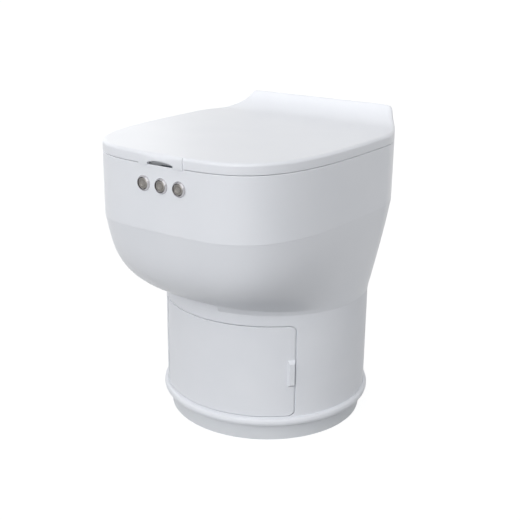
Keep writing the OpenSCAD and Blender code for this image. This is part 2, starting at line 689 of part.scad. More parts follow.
module seal_frame() color("silver") difference() {
  union() {
    translate([0, 0, base_z]) cylinder(r = base_r, h = base_t);
    for (x = [-plate_out, plate_x]) box([x, side_plate_y, base_z + base_t - eps],
      [x + plate_t, rear_plate_y + plate_t, plate_top]);
    box([-plate_out, front_plate_y, jaw_z - jaw_h / 2], [plate_out, front_plate_y + plate_t, plate_top]);
    box([-plate_out, rear_plate_y, base_z + base_t - eps], [plate_out, rear_plate_y + plate_t, rear_plate_z1]);
  }
  base_window(-plate_x, plate_x, roller_ys[0] - roller_r - 3, roller_ys[1] + roller_r + 3);
  base_window(plate_out + 0.5, gear_x + gear_w + 3, roller_ys[0] - gear_tip - 2, roller_ys[1] + gear_tip + 2);
  base_window(-plate_out - motor_len - 1, -plate_out, roller_ys[0] - motor_r, roller_ys[0] + motor_r);
  for (y = roller_ys) x_rod(shaft_r + bush_t, -plate_out - 1, plate_out + 1, y, roller_z);
  for (side = [-1, 1]) y_rod(rod_r, side * rod_x, front_plate_y - 1, rear_plate_y + plate_t + 1, jaw_z);
  y_rod(push_r + 1, 0, rear_plate_y - 1, rear_plate_y + plate_t + 1, jaw_z);
  for (a = frame_screw_dirs) rotate([0, 0, a]) translate([frame_screw_at, 0, base_z - 1])
    cylinder(r = frame_screw_r, h = base_t + 2, $fn = 32);
}
frame_screw_r = 2;
frame_head_r = 3.6;
frame_head_h = 2.2;
frame_screw_dirs = [60, 120, 240, 300];
frame_screw_at = (collar_lip_in + base_r) / 2;
module frame_screws() color("silver") for (a = frame_screw_dirs) rotate([0, 0, a])
  translate([frame_screw_at, 0, base_z + base_t]) pan_screw(frame_screw_r, base_t, frame_head_r, frame_head_h);
module roller_bushes() color("goldenrod") for (y = roller_ys) for (x = [-plate_out, plate_x]) difference() {
  x_rod(shaft_r + bush_t, x, x + plate_t, y, roller_z);
  x_rod(shaft_r + shaft_fit, x - 1, x + plate_t + 1, y, roller_z);
}
module jaw_body(y0) box([-jaw_x, y0, jaw_z - jaw_h / 2], [jaw_x, y0 + jaw_t, jaw_z + jaw_h / 2]);
module fixed_jaw() color("silver") difference() {
  jaw_body(fixed_face_y - bar_t - jaw_t);
  for (side = [-1, 1]) y_rod(rod_r, side * rod_x, front_plate_y, web_y, jaw_z);
}
bar_h = 8;
module heater_bar() color("goldenrod")
  box([-bar_x, fixed_face_y - bar_t, jaw_z - bar_h / 2], [bar_x, fixed_face_y, jaw_z + bar_h / 2]);
module guide_rods() color("silver") for (side = [-1, 1])
  y_rod(rod_r, side * rod_x, front_plate_y, rear_plate_y + plate_t, jaw_z);
jaw_bush_r = rod_r + 1.5;
module moving_jaw() color("silver") difference() {
  jaw_body(moving_face_y + bar_t);
  for (side = [-1, 1]) y_rod(jaw_bush_r, side * rod_x, moving_face_y, moving_face_y + 40, jaw_z);
}
module jaw_bushes() color("goldenrod") for (side = [-1, 1]) difference() {
  y_rod(jaw_bush_r, side * rod_x, moving_face_y + bar_t, moving_face_y + bar_t + jaw_t, jaw_z);
  y_rod(rod_r + shaft_fit, side * rod_x, moving_face_y, moving_face_y + 40, jaw_z);
}
module jaw_pad() color("firebrick")
  box([-bar_x, moving_face_y, jaw_z - bar_h / 2], [bar_x, moving_face_y + bar_t, jaw_z + bar_h / 2]);
push_r = 6;
actuator_y0 = rear_plate_y + plate_t;
actuator_len = 64;
actuator_r = 16;
actuator_flange_x = 24;
actuator_flange_z = 18;
actuator_flange_t = 4;
actuator_end_t = 8;
rod_end_gap = 4;
module push_rod() color("silver")
  y_rod(push_r, 0, moving_face_y + bar_t + jaw_t, actuator_y0 + actuator_len - actuator_end_t - rod_end_gap,
    jaw_z);
module jaw_actuator() color("dimgray") difference() {
  union() {
    y_rod(actuator_r, 0, actuator_y0, actuator_y0 + actuator_len, jaw_z);
    box([-actuator_flange_x, actuator_y0, jaw_z - actuator_flange_z],
      [actuator_flange_x, actuator_y0 + actuator_flange_t, jaw_z + actuator_flange_z]);
  }
  y_rod(push_r + shaft_fit, 0, actuator_y0 - 1, actuator_y0 + actuator_len - actuator_end_t, jaw_z);
}
module roller_shaft(y, x1) x_rod(shaft_r, -plate_out - 1, x1, y, roller_z);
module roller_sleeve(y) difference() {
  x_rod(roller_r, -plate_x + 2, plate_x - 2, y, roller_z);
  x_rod(shaft_r, -plate_x, plate_x, y, roller_z);
}
// Outline of a spur gear with straight-sided teeth, a tooth on the first axis when turn is 0
module gear_outline(turn) {
  pitch = 360 / gear_teeth;
  mid = (gear_root + gear_tip) / 2;
  tooth = [[-0.33, gear_root], [-0.2, mid], [-0.09, gear_tip], [0.09, gear_tip], [0.2, mid], [0.33, gear_root]];
  polygon([for (i = [0 : gear_teeth - 1]) for (q = tooth) q[1] * [cos((i + q[0]) * pitch + turn),
    sin((i + q[0]) * pitch + turn)]]);
}
module roller_gear(y, turn) translate([gear_x, y, roller_z]) rotate([90, 0, 90]) linear_extrude(gear_w)
  difference() {
    gear_outline(turn);
    circle(r = shaft_r);
  }
module front_shaft() color("silver") roller_shaft(roller_ys[0], gear_x + gear_w + 1);
module rear_shaft() color("silver") roller_shaft(roller_ys[1], gear_x + gear_w + 1);
module front_roller() color("firebrick") roller_sleeve(roller_ys[0]);
module rear_roller() color("firebrick") roller_sleeve(roller_ys[1]);
module front_gear() color("ivory") roller_gear(roller_ys[0], 0);
module rear_gear() color("ivory") roller_gear(roller_ys[1], 180 / gear_teeth);
motor_r = 12;
motor_len = 16;
module feed_motor() color("dimgray") difference() {
  x_rod(motor_r, -plate_out - motor_len, -plate_out, roller_ys[0], roller_z);
  x_rod(shaft_r + 0.5, -plate_out - 3, 0, roller_ys[0], roller_z);
}

// Electrics
box_back_gap = 12.5;
box_depth = 44;
box_x = 72;
box_h = 91;
box_wall = 2.5;
box_y1 = rear_reach - shell_t - box_back_gap;
box_y0 = box_y1 - box_depth;
box_top = deck_z - deck_t;
box_z0 = box_top - box_h;
module control_box() color("dimgray") difference() {
  box([-box_x, box_y0, box_z0], [box_x, box_y1, box_top]);
  box([-box_x + box_wall, box_y0 + box_wall, box_z0 + box_wall],
    [box_x - box_wall, box_y1 - box_wall, box_top - box_wall]);
}
board_t = 1.6;
board_margin = 4;
board_y = box_y0 + 10;
chip_w = 18;
chip_t = 8.4;
chip_h = 28;
chip_pitch = 38;
module control_board() color("darkgreen") {
  box([-box_x + box_wall + board_margin, board_y, box_z0 + box_wall],
    [box_x - box_wall - board_margin, board_y + board_t, box_top - box_wall - board_margin]);
  for (i = [-1 : 1]) translate([i * chip_pitch, board_y + board_t - eps, box_z0 + box_h / 2])
    box([-chip_w / 2, 0, -chip_h / 2], [chip_w / 2, chip_t, chip_h / 2]);
}
inlet_flange_r = 12;
inlet_bore_r = 3.2;
module power_inlet() color("dimgray") difference() {
  union() {
    y_rod(inlet_flange_r, inlet_x, rear_reach, rear_reach + 2.5, inlet_z);
    y_rod(inlet_r, inlet_x, rear_reach - 20, rear_reach + 1, inlet_z);
  }
  y_rod(inlet_bore_r, inlet_x, rear_reach - 9, rear_reach + 3, inlet_z);
}

// Push buttons
bezel_bevel = 1.4;
barrel_len = 24;
switch_len = 16;
cap_back = 10;
module turned_y(x, y, z) translate([x, y, z]) rotate([90, 0, 0]) rotate_extrude($fn = 64) children();
module button_bezels() color("silver") for (x = button_xs) turned_y(x, front_wall_y, button_z)
  polygon([[cap_r + cap_fit, -barrel_len], [barrel_r, -barrel_len], [barrel_r, 0], [bezel_r, 0],
    [bezel_r, bezel_proud - bezel_bevel], [bezel_r - bezel_bevel, bezel_proud], [cap_r + 0.5, bezel_proud],
    [cap_r + cap_fit, bezel_proud - 0.4]]);
module button_nuts() color("silver") for (x = button_xs) difference() {
  translate([x, nut_y, button_z]) rotate([-90, 30, 0])
    cylinder(r = nut_flat_r / cos(30), h = nut_t, $fn = 6);
  y_rod(barrel_r, x, front_wall_y, front_wall_y + 20, button_z);
}
module button_switches() color("dimgray") for (x = button_xs) {
  y_rod(barrel_r - 0.4, x, front_wall_y + barrel_len, front_wall_y + barrel_len + switch_len, button_z);
  for (z = [-4, 4]) box([x - 1.2, front_wall_y + barrel_len + switch_len - eps, button_z + z - 0.4],
    [x + 1.2, front_wall_y + barrel_len + switch_len + 6, button_z + z + 0.4]);
}
cap_proud = bezel_proud - 0.6;
groove_r = cap_r * 0.62;
module button_cap(x) color("silver") turned_y(x, front_wall_y, button_z)
  polygon([[0, -cap_back], [cap_r, -cap_back], [cap_r, cap_proud - 0.3], [cap_r - 0.3, cap_proud],
    [groove_r + 0.4, cap_proud], [groove_r, cap_proud - 0.4], [groove_r - 0.4, cap_proud], [0, cap_proud]]);
module button_cap_left() button_cap(button_xs[0]);
module button_cap_middle() button_cap(button_xs[1]);
module button_cap_right() button_cap(button_xs[2]);

// Rear hinge, shared by seat and lid
hinge_y = rear_reach + hinge_out;
hinge_z = rim_z + hinge_up;
lug_w = 10;
bracket_t = 1.3;
bracket_h = 26;
bracket_top = hinge_z - knuckle_r - 3;
bracket_z0 = bracket_top - bracket_h;
bracket_mid_y = rear_reach + bracket_t / 2;
lug_spots = [-lug_x, 0, lug_x];
hinge_screw_r = 2;
hinge_screw_xs = [-70, -25, 25, 70];
module hinge_screw_hole(x) y_rod(hinge_screw_r, x, rear_reach - shell_t - 1, rear_reach + bracket_t + 1,
  bracket_top - bracket_h / 2);
module hinge_bracket() color("whitesmoke") difference() {
  union() {
    box([-lug_x - lug_w, rear_reach, bracket_z0], [lug_x + lug_w, rear_reach + bracket_t, bracket_top]);
    for (x = lug_spots) {
      x_rod(knuckle_r, x - lug_w / 2, x + lug_w / 2, hinge_y, hinge_z);
      translate([x - lug_w / 2, 0, 0]) rotate([90, 0, 90]) linear_extrude(lug_w)
        polygon([[bracket_mid_y, bracket_z0 + 4], [bracket_mid_y, bracket_top],
          [hinge_y - knuckle_r + 0.5, hinge_z], [hinge_y + knuckle_r, hinge_z], [hinge_y + knuckle_r, hinge_z - 4]]);
    }
  }
  x_rod(hinge_pin_r, -lug_x - lug_w, lug_x + lug_w, hinge_y, hinge_z);
  for (x = hinge_screw_xs) hinge_screw_hole(x);
}
module hinge_screws() color("silver") for (x = hinge_screw_xs)
  translate([x, rear_reach + bracket_t, bracket_top - bracket_h / 2]) rotate([-90, 0, 0])
    pan_screw(hinge_screw_r, bracket_t + shell_t, pan_head_r, pan_head_h);
module hinge_pin() color("silver") x_rod(hinge_pin_r, -lug_x - lug_w / 2, lug_x + lug_w / 2, hinge_y, hinge_z);

seat_in = lid_t + seat_gap;
seat_edge_r = 4;
seat_top = seat_z + seat_t;
arm_h = 5;
recess_r = (recess_w * recess_w / 4 + recess_deep * recess_deep) / (2 * recess_deep);
recess_y = -front_reach + seat_in + recess_deep - recess_r;
function seat_hole(grow, z) = oval_ring(seat_hole_a + grow, seat_hole_b + grow, bowl_y, z);
function seat_ring(d, z) = [for (i = [0 : plan_n - 1]) concat(inset_point(i, seat_in + d), z)];
module seat() color("white") difference() {
  union() {
    intersection() {
      loft([seat_ring(1, seat_z), seat_ring(0, seat_z + 1), seat_ring(0, seat_top - seat_edge_r),
        seat_ring(seat_edge_r * 0.3, seat_top - seat_edge_r * 0.3), seat_ring(seat_edge_r, seat_top)]);
      box([-half_w, -front_reach, 0], [half_w, seat_rear, rim_z + 40]);
    }
    for (side = [-1, 1]) {
      x0 = side * seat_knuckle_x - knuckle_w / 2;
      box([x0, seat_rear - 4, hinge_z - arm_h / 2], [x0 + knuckle_w, hinge_y, hinge_z + arm_h / 2]);
      x_rod(knuckle_r, x0, x0 + knuckle_w, hinge_y, hinge_z);
    }
  }
  loft([seat_hole(4, seat_z - 1), seat_hole(0, seat_z + 5), seat_hole(1.5, seat_top - 4),
    seat_hole(8, seat_top + 1)]);
  translate([0, recess_y, seat_z - 1]) cylinder(r = recess_r, h = seat_t + 2);
  x_rod(hinge_pin_r + hinge_fit, -lug_x, lug_x, hinge_y, hinge_z);
}
seat_bumper_spots = [[-150, -60], [150, -60], [-112, 96], [112, 96]];
module seat_bumpers() color("dimgray") for (p = seat_bumper_spots) translate([p.x, p.y, deck_z])
  cylinder(r = 7, h = seat_z - deck_z, $fn = 48);

// Lid: the plan rises to a flat top that ramps up to the rear edge
lid_bottom = rim_z + lid_gap;
lid_top_t = lid_t + 0.5;
// How far each ring of the top is drawn in towards the middle
lid_shrinks = [0.985, 0.965, 0.94, 0.91, 0.875, 0.83, 0.77, 0.68, 0.5, 0.2];
lid_middle = [0, -20];
// The ramp is full height where the raised edge's rounding begins
ramp_end_y = rear_reach - 1.4 * ridge_r;
function ramp(y) = let (t = (y - ramp_y) / (ramp_end_y - ramp_y))
  (wedge_z - lid_z) * pow(min(1, max(0, t)), ramp_power);
// Share of a wall that faces the rear, 0 at the front and sides and 1 at the back
function rear_share(i) = pow(max(0, plan_normals[i].y), 3);
function lid_edge_point(i, d, turn, drop) = let (
    share = rear_share(i),
    r = lid_edge_r + (ridge_r - lid_edge_r) * share,
    lean = ramp_lean * (1 - share) * ramp(plan[i].y),
    p = inset_point(i, d + r * (1 - cos(turn)) + lean))
  [p.x, p.y, lid_z - drop + ramp(p.y) - r * (1 - sin(turn))];
function lid_top_point(i, d, shrink, drop) = let (
    edge = lid_edge_point(i, d, 90, drop),
    p = lid_middle + shrink * ([edge.x, edge.y] - lid_middle))
  [p.x, p.y, lid_z - drop + ramp(p.y)];
function lid_rings(d, z0, drop) = concat(
  [[for (i = [0 : plan_n - 1]) concat(inset_point(i, d), z0)]],
  [for (turn = [0 : 30 : 90]) [for (i = [0 : plan_n - 1]) lid_edge_point(i, d, turn, drop)]],
  [for (s = lid_shrinks) [for (i = [0 : plan_n - 1]) lid_top_point(i, d, s, drop)]]);
module slot_profile() intersection() {
  rise = slot_mid_h - slot_end_h;
  arch_r = (slot_w * slot_w / 4 + rise * rise) / (2 * rise);
  translate([-slot_w / 2, -5]) square([slot_w, slot_mid_h + 5]);
  translate([0, slot_mid_h - arch_r]) circle(r = arch_r, $fn = 180);
}
module tab_slice() intersection() {
  children();
  box([-tab_w / 2, -front_reach - 20, 0], [tab_w / 2, -front_reach + 20, wedge_z]);
}
module lid() color("white") difference() {
  union() {
    difference() {
      union() {
        loft(lid_rings(0, lid_bottom, 0));
        tab_slice() loft(lid_rings(-tab_proud, lid_bottom, 0));
      }
      loft(lid_rings(lid_t, lid_bottom - 1, lid_top_t));
    }
    tab_slice() difference() {
      plan_plate(-tab_proud, lid_bottom - tab_drop, lid_bottom + 1);
      plan_plate(-0.5, lid_bottom - tab_drop - 1, lid_bottom + 2);
    }
    for (side = [-1, 1]) {
      x = side * lid_knuckle_x;
      x_rod(knuckle_r, x - knuckle_w / 2, x + knuckle_w / 2, hinge_y, hinge_z);
      translate([x, 0, 0]) box([-knuckle_w / 2, rear_reach - lid_t / 2, lid_bottom],
        [knuckle_w / 2, hinge_y, hinge_z + knuckle_r]);
    }
  }
  translate([0, -front_reach + 10, lid_bottom - 0.5]) rotate([90, 0, 0]) linear_extrude(20) slot_profile();
  for (x = [-seat_knuckle_x, seat_knuckle_x]) translate([x, 0, 0])
    box([-knuckle_w / 2 - 1, rear_reach - lid_t - 4, lid_bottom - 1],
      [knuckle_w / 2 + 1, rear_reach + 5, hinge_z + arm_h / 2 + 2]);
  x_rod(hinge_pin_r + hinge_fit, -lug_x, lug_x, hinge_y, hinge_z);
}
lid_bumper_spots = [[-140, -60], [140, -60], [-112, 80], [112, 80]];
module lid_bumpers() color("dimgray") for (p = lid_bumper_spots) translate([p.x, p.y, seat_top])
  cylinder(r = 6, h = lid_z - lid_top_t - seat_top, $fn = 48);

plinth();
base_ring();
pedestal_shell();
bin_floor();
waste_bin();
door_hinge_lugs();
door_pins();
magnet_catch();
collar();
lower_shell();
upper_shell();
deck();
deck_screws();
bowl();
cartridge_case();
film_pack();
liner_film();
seal_frame();
frame_screws();
fixed_jaw();
heater_bar();
guide_rods();
roller_bushes();
feed_motor();
jaw_actuator();
control_box();
control_board();
power_inlet();
button_bezels();
button_nuts();
button_switches();
hinge_bracket();
hinge_screws();
hinge_pin();
door();
door_pull();
strike_plate();
button_cap_left();
button_cap_middle();
button_cap_right();
moving_jaw();
jaw_pad();
jaw_bushes();
push_rod();
front_shaft();
front_roller();
front_gear();
rear_shaft();
rear_roller();
rear_gear();
seat();
seat_bumpers();
lid();
lid_bumpers();
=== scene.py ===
import math

import bpy
import numpy as np
from mathutils import Matrix, Vector


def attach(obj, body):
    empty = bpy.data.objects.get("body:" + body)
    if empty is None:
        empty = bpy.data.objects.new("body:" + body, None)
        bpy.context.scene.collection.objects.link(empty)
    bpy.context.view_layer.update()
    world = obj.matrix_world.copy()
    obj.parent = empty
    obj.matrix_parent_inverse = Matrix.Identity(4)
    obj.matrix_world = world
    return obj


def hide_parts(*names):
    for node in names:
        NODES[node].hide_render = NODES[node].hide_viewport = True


# Lengths in the shape functions are millimetres, and this turns them to metres
MM = 0.001
# Edges that bend more than this many degrees are drawn sharp, where a piece doesn't say otherwise
CRISP = 32

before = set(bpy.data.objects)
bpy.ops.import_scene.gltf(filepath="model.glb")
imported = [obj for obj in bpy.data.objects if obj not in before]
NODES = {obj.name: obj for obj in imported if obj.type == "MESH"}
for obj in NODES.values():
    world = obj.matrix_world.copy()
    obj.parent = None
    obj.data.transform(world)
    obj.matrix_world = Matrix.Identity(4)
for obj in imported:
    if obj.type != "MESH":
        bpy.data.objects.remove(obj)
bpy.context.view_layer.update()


# Colours and nodes

def colour(code):
    """Linear colour of an sRGB hex value."""
    parts = [int(code[i:i + 2], 16) / 255 for i in (0, 2, 4)]
    linear = [c / 12.92 if c <= 0.04045 else ((c + 0.055) / 1.055) ** 2.4 for c in parts]
    return (*linear, 1.0)


def add(tree, kind, inputs=None, **settings):
    """A node with its settings, and its inputs as values or links. A Mix's colours are inputs 6 and 7."""
    made = tree.nodes.new(kind)
    for name, value in settings.items():
        setattr(made, name, value)
    for name, value in (inputs or {}).items():
        if isinstance(value, bpy.types.NodeSocket):
            tree.links.new(value, made.inputs[name])
        else:
            made.inputs[name].default_value = value
    return made


def new_material(name):
    """An empty material and its node tree."""
    made = bpy.data.materials.new(name)
    made.use_nodes = True
    made.node_tree.nodes.clear()
    return made, made.node_tree


def finish_material(tree, shader):
    """Join the shader to the material's output."""
    out = add(tree, "ShaderNodeOutputMaterial")
    tree.links.new(shader.outputs[0], out.inputs["Surface"])


def per_metre(size_mm):
    """Texture scale at which one feature is this many millimetres."""
    return 1 / (size_mm * MM)


# Least and most of the noise that smears plastic and hazes metal, and a plastic's sheen at each
SMEAR_LOW, SMEAR_HIGH = 0.25, 0.75
HAZE_LOW, HAZE_HIGH = 0.3, 0.7
SHEEN_LOW, SHEEN_HIGH = 0.4, 0.6
# Size of a cloud of haze on metal in millimetres, and distance between ring waves at scale 1
HAZE, WAVE_PITCH = 9, 0.314


def moulded_plastic(name, pale, deep, gloss, grain, smear, grain_depth, ior):
    """Moulded plastic: a faint tone drift, a sheen that varies with handling, and the grain of the mould."""
    made, tree = new_material(name)
    place = add(tree, "ShaderNodeTexCoord").outputs["Object"]
    drift = add(tree, "ShaderNodeTexNoise", {"Vector": place, "Scale": per_metre(smear), "Detail": 3.0})
    tone = add(tree, "ShaderNodeMix", {"Factor": drift.outputs["Fac"], 6: colour(pale), 7: colour(deep)},
               data_type="RGBA")
    rub = add(tree, "ShaderNodeTexNoise", {"Vector": place, "Scale": per_metre(smear / 4), "Detail": 4.0})
    sheen = add(tree, "ShaderNodeMapRange", {
        "Value": rub.outputs["Fac"], "From Min": SMEAR_LOW, "From Max": SMEAR_HIGH,
        "To Min": SHEEN_LOW, "To Max": SHEEN_HIGH})
    mould = add(tree, "ShaderNodeTexNoise", {"Vector": place, "Scale": per_metre(grain), "Detail": 0.0})
    bump = add(tree, "ShaderNodeBump", {"Height": mould.outputs["Fac"], "Strength": 1.0,
                                        "Distance": grain_depth * MM})
    shader = add(tree, "ShaderNodeBsdfPrincipled", {
        "Base Color": tone.outputs[2], "Roughness": gloss, "Specular IOR Level": sheen.outputs["Result"],
        "Normal": bump.outputs["Normal"], "IOR": ior})
    finish_material(tree, shader)
    return made


def worked_metal(name, pale, deep, gloss, line, depth, along=(1, 1, 1), rings=False):
    """Metal with the fine lines of its working: drawn or brushed along an axis, or turned in rings."""
    made, tree = new_material(name)
    place = add(tree, "ShaderNodeTexCoord").outputs["Object"]
    if rings:
        lines = add(tree, "ShaderNodeTexWave", {"Vector": place, "Scale": per_metre(line) * WAVE_PITCH,
                                                "Distortion": 0.6, "Detail": 2.0},
                    wave_type="RINGS", rings_direction="Y")
    else:
        stretched = add(tree, "ShaderNodeMapping", {"Vector": place, "Scale": along})
        lines = add(tree, "ShaderNodeTexNoise", {"Vector": stretched.outputs["Vector"],
                                                 "Scale": per_metre(line), "Detail": 4.0})
    mark = lines.outputs["Fac"]
    tone = add(tree, "ShaderNodeMix", {"Factor": mark, 6: colour(pale), 7: colour(deep)}, data_type="RGBA")
    haze = add(tree, "ShaderNodeTexNoise", {"Vector": place, "Scale": per_metre(HAZE), "Detail": 4.0})
    sheen = add(tree, "ShaderNodeMapRange", {
        "Value": haze.outputs["Fac"], "From Min": HAZE_LOW, "From Max": HAZE_HIGH,
        "To Min": gloss[0], "To Max": gloss[1]})
    bump = add(tree, "ShaderNodeBump", {"Height": mark, "Strength": 1.0, "Distance": depth * MM})
    shader = add(tree, "ShaderNodeBsdfPrincipled", {
        "Base Color": tone.outputs[2], "Metallic": 1.0, "Roughness": sheen.outputs["Result"],
        "Normal": bump.outputs["Normal"]})
    finish_material(tree, shader)
    return made


def film_material():
    """Polyethylene liner film, blown thin: milky, creased finely, with a wet-looking gloss."""
    made, tree = new_material("polyethylene_film")
    place = add(tree, "ShaderNodeTexCoord").outputs["Object"]
    crease = add(tree, "ShaderNodeTexNoise", {"Vector": place, "Scale": per_metre(7), "Detail": 6.0,
                                              "Distortion": 1.2})
    tone = add(tree, "ShaderNodeMix", {"Factor": crease.outputs["Fac"], 6: colour("F4F7FA"),
                                       7: colour("DCE6EE")}, data_type="RGBA")
    bump = add(tree, "ShaderNodeBump", {"Height": crease.outputs["Fac"], "Strength": 1.0,
                                        "Distance": 0.5 * MM})
    shader = add(tree, "ShaderNodeBsdfPrincipled", {
        "Base Color": tone.outputs[2], "Roughness": 0.22, "Normal": bump.outputs["Normal"],
        "IOR": 1.51, "Alpha": 0.72})
    finish_material(tree, shader)
    return made


def circuit_board():
    """Glass fibre board under green solder mask: a woven ground with faint copper tracks."""
    made, tree = new_material("solder_masked_board")
    place = add(tree, "ShaderNodeTexCoord").outputs["Object"]
    tracks = add(tree, "ShaderNodeTexBrick", {"Vector": place, "Scale": per_metre(12),
                                              "Color1": colour("1F5A38"), "Color2": colour("246740"),
                                              "Mortar": colour("3B8053"), "Mortar Size": 0.03})
    weave = add(tree, "ShaderNodeTexNoise", {"Vector": place, "Scale": per_metre(1.2)})
    bump = add(tree, "ShaderNodeBump", {"Height": weave.outputs["Fac"], "Strength": 1.0,
                                        "Distance": 0.03 * MM})
    shader = add(tree, "ShaderNodeBsdfPrincipled", {
        "Base Color": tracks.outputs["Color"], "Roughness": 0.38, "Normal": bump.outputs["Normal"]})
    finish_material(tree, shader)
    return made


# ABS from a polished mould: pale and slightly blue, a soft gloss and a trace of orange peel
GLOSS_ABS = moulded_plastic("gloss_white_abs", "F1F3F8", "E9ECF2", 0.31, 2.4, 90, 0.012, 1.54)
# ABS from a fine spark-eroded mould: the same white, flatter, with a grain drawn at 1.1 mm to show
SATIN_ABS = moulded_plastic("satin_white_abs", "EBEDF2", "E2E5EB", 0.44, 1.1, 70, 0.02, 1.54)
# Polypropylene floor plinth: greyer and duller than the ABS above it
PLINTH_PP = moulded_plastic("plinth_polypropylene", "E1E4E8", "D8DBE0", 0.525, 1.4, 60, 0.03, 1.49)
# Inner mouldings that nobody polishes: flat light grey
GREY_ABS = moulded_plastic("plain_grey_abs", "C6C9CD", "B9BDC2", 0.525, 1.2, 50, 0.03, 1.54)
# Glass-filled nylon of the bin and the inner housings: near black, with a coarse dull grain
DARK_NYLON = moulded_plastic("glass_filled_nylon", "2E3033", "24262A", 0.535, 0.9, 40, 0.05, 1.53)
# Polystyrene of the film cartridge: a pale milky blue with a soft gloss
CARTRIDGE_PS = moulded_plastic("cartridge_polystyrene", "C9DAE8", "BBD0E1", 0.34, 1.6, 45, 0.015, 1.59)
# Acetal gears: ivory and waxy
ACETAL = moulded_plastic("ivory_acetal", "EDE6D2", "E2DAC2", 0.36, 1.5, 30, 0.01, 1.48)
# Silicone of rollers and jaw pad: brick red with a dusty bloom
SILICONE = moulded_plastic("red_silicone", "A8392E", "8E2F27", 0.6, 0.8, 25, 0.04, 1.41)
# Rubber of the bumpers: mid grey and dull
RUBBER = moulded_plastic("grey_rubber", "5F6266", "515458", 0.7, 0.8, 20, 0.04, 1.52)
# Folded film packed tight: its many edges read as fine lines
FOLDED_FILM = moulded_plastic("folded_film", "E6EEF5", "CBD8E4", 0.325, 0.9, 12, 0.08, 1.51)
# Stainless steel of the bezels, turned and then polished: bright, with a trace of haze in what it mirrors
POLISHED_STEEL = worked_metal("polished_stainless", "BAB9BC", "ACABAF", (0.1, 0.16), 0.5, 0.001, rings=True)
# Stainless steel of the caps, turned on a lathe: darker, with fine rings drawn at 0.35 mm to show
TURNED_STEEL = worked_metal("turned_stainless", "928F8C", "7A7774", (0.28, 0.4), 0.35, 0.004, rings=True)
# Zinc-plated steel of screws, nuts and the strike plate: pale and slightly cloudy
ZINC_STEEL = worked_metal("zinc_plated_steel", "C7CACD", "AEB2B6", (0.25, 0.4), 1.5, 0.004)
# Ground steel of rods, pins and shafts: bright, with close grinding marks
GROUND_STEEL = worked_metal("ground_steel", "CFD1D3", "B7BABD", (0.16, 0.26), 0.6, 0.002, (1, 1, 6))
# Galvanised sheet of the sealing frame: grey, with a cloudy spangle
GALVANISED = worked_metal("galvanised_sheet", "BFC5CA", "9FA6AC", (0.32, 0.5), 14, 0.004)
# Aluminium of the jaws, brushed along their length: pale, with long streaks
BRUSHED_ALUMINIUM = worked_metal("brushed_aluminium", "D3D5D8", "B9BCC0", (0.28, 0.4), 0.8, 0.005,
                                 (0.04, 1, 1))
# Bronze of the bushes and brass of the heating bar: warm and slightly dulled
BRASS = worked_metal("dulled_brass", "C8A560", "A98745", (0.28, 0.42), 1.2, 0.004)
# Film of the liner, blown thin: milky and half clear, with fine creases that glint
FILM = film_material()
# Board of the control box: green, with paler tracks in it
BOARD = circuit_board()

NODE_FINISHES = {
    SATIN_ABS: ["hinge_bracket"],
    GLOSS_ABS: ["deck"],
    PLINTH_PP: ["plinth"],
    GREY_ABS: ["bin_floor", "door_hinge_lugs"],
    DARK_NYLON: ["waste_bin", "magnet_catch", "feed_motor", "jaw_actuator", "control_box", "power_inlet",
                 "button_switches"],
    CARTRIDGE_PS: ["cartridge_case"],
    ACETAL: ["front_gear", "rear_gear"],
    SILICONE: ["jaw_pad", "front_roller", "rear_roller"],
    RUBBER: ["seat_bumpers", "lid_bumpers"],
    ZINC_STEEL: ["deck_screws", "frame_screws", "hinge_screws", "button_nuts", "strike_plate"],
    GROUND_STEEL: ["door_pins", "guide_rods", "hinge_pin", "push_rod", "front_shaft", "rear_shaft"],
    GALVANISED: ["seal_frame"],
    BRUSHED_ALUMINIUM: ["fixed_jaw", "moving_jaw"],
    BRASS: ["heater_bar", "roller_bushes", "jaw_bushes"],
    BOARD: ["control_board"],
}


def dress_nodes():
    """Finishes of the CAD nodes that show their own mesh."""
    for finish, names in NODE_FINISHES.items():
        for name in names:
            mesh = NODES[name].data
            mesh.materials.clear()
            mesh.materials.append(finish)


# Meshes

def put(name, data):
    """An object in the scene with this mesh, lamp or camera."""
    made = bpy.data.objects.new(name, data)
    bpy.context.scene.collection.objects.link(made)
    return made


def make_piece(name, points, faces, finish, body, slot, stands_for, centre=(0, 0, 0), crisp=CRISP):
    """A piece from points in millimetres, smooth except at edges sharper than crisp degrees."""
    mesh = bpy.data.meshes.new(name)
    local = (np.asarray(points, float).reshape(-1, 3) - np.array(centre, float)) * MM
    mesh.from_pydata(local.tolist(), [], [list(f) for f in faces])
    mesh.validate()
    mesh.shade_smooth()
    mesh.set_sharp_from_angle(angle=math.radians(crisp))
    mesh.materials.append(finish)
    piece = put(name, mesh)
    piece.modifiers.new("flat walls stay flat", "WEIGHTED_NORMAL").keep_sharp = True
    piece.location = Vector(centre) * MM
    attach(piece, body)
    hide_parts(*stands_for)
    return piece


BORE_SIDES = 64


def drill(piece, at, radius, length):
    """Bore along Y cut into a piece's mesh."""
    points, faces = turned([(radius, -length / 2), (radius, length / 2)], BORE_SIDES, "Y", at)
    faces = [list(f) for f in faces[:BORE_SIDES]] + cap_faces(2, BORE_SIDES)
    mesh = bpy.data.meshes.new("bore")
    mesh.from_pydata((points * MM).tolist(), [], faces)
    rod = put("bore", mesh)
    cut = piece.modifiers.new("bore", "BOOLEAN")
    cut.object = rod
    bpy.context.view_layer.update()
    bored = piece.evaluated_get(bpy.context.evaluated_depsgraph_get())
    piece.data = bpy.data.meshes.new_from_object(bored)
    piece.modifiers.remove(cut)
    piece.data.set_sharp_from_angle(angle=math.radians(CRISP))
    bpy.data.objects.remove(rod)
    bpy.data.meshes.remove(mesh)


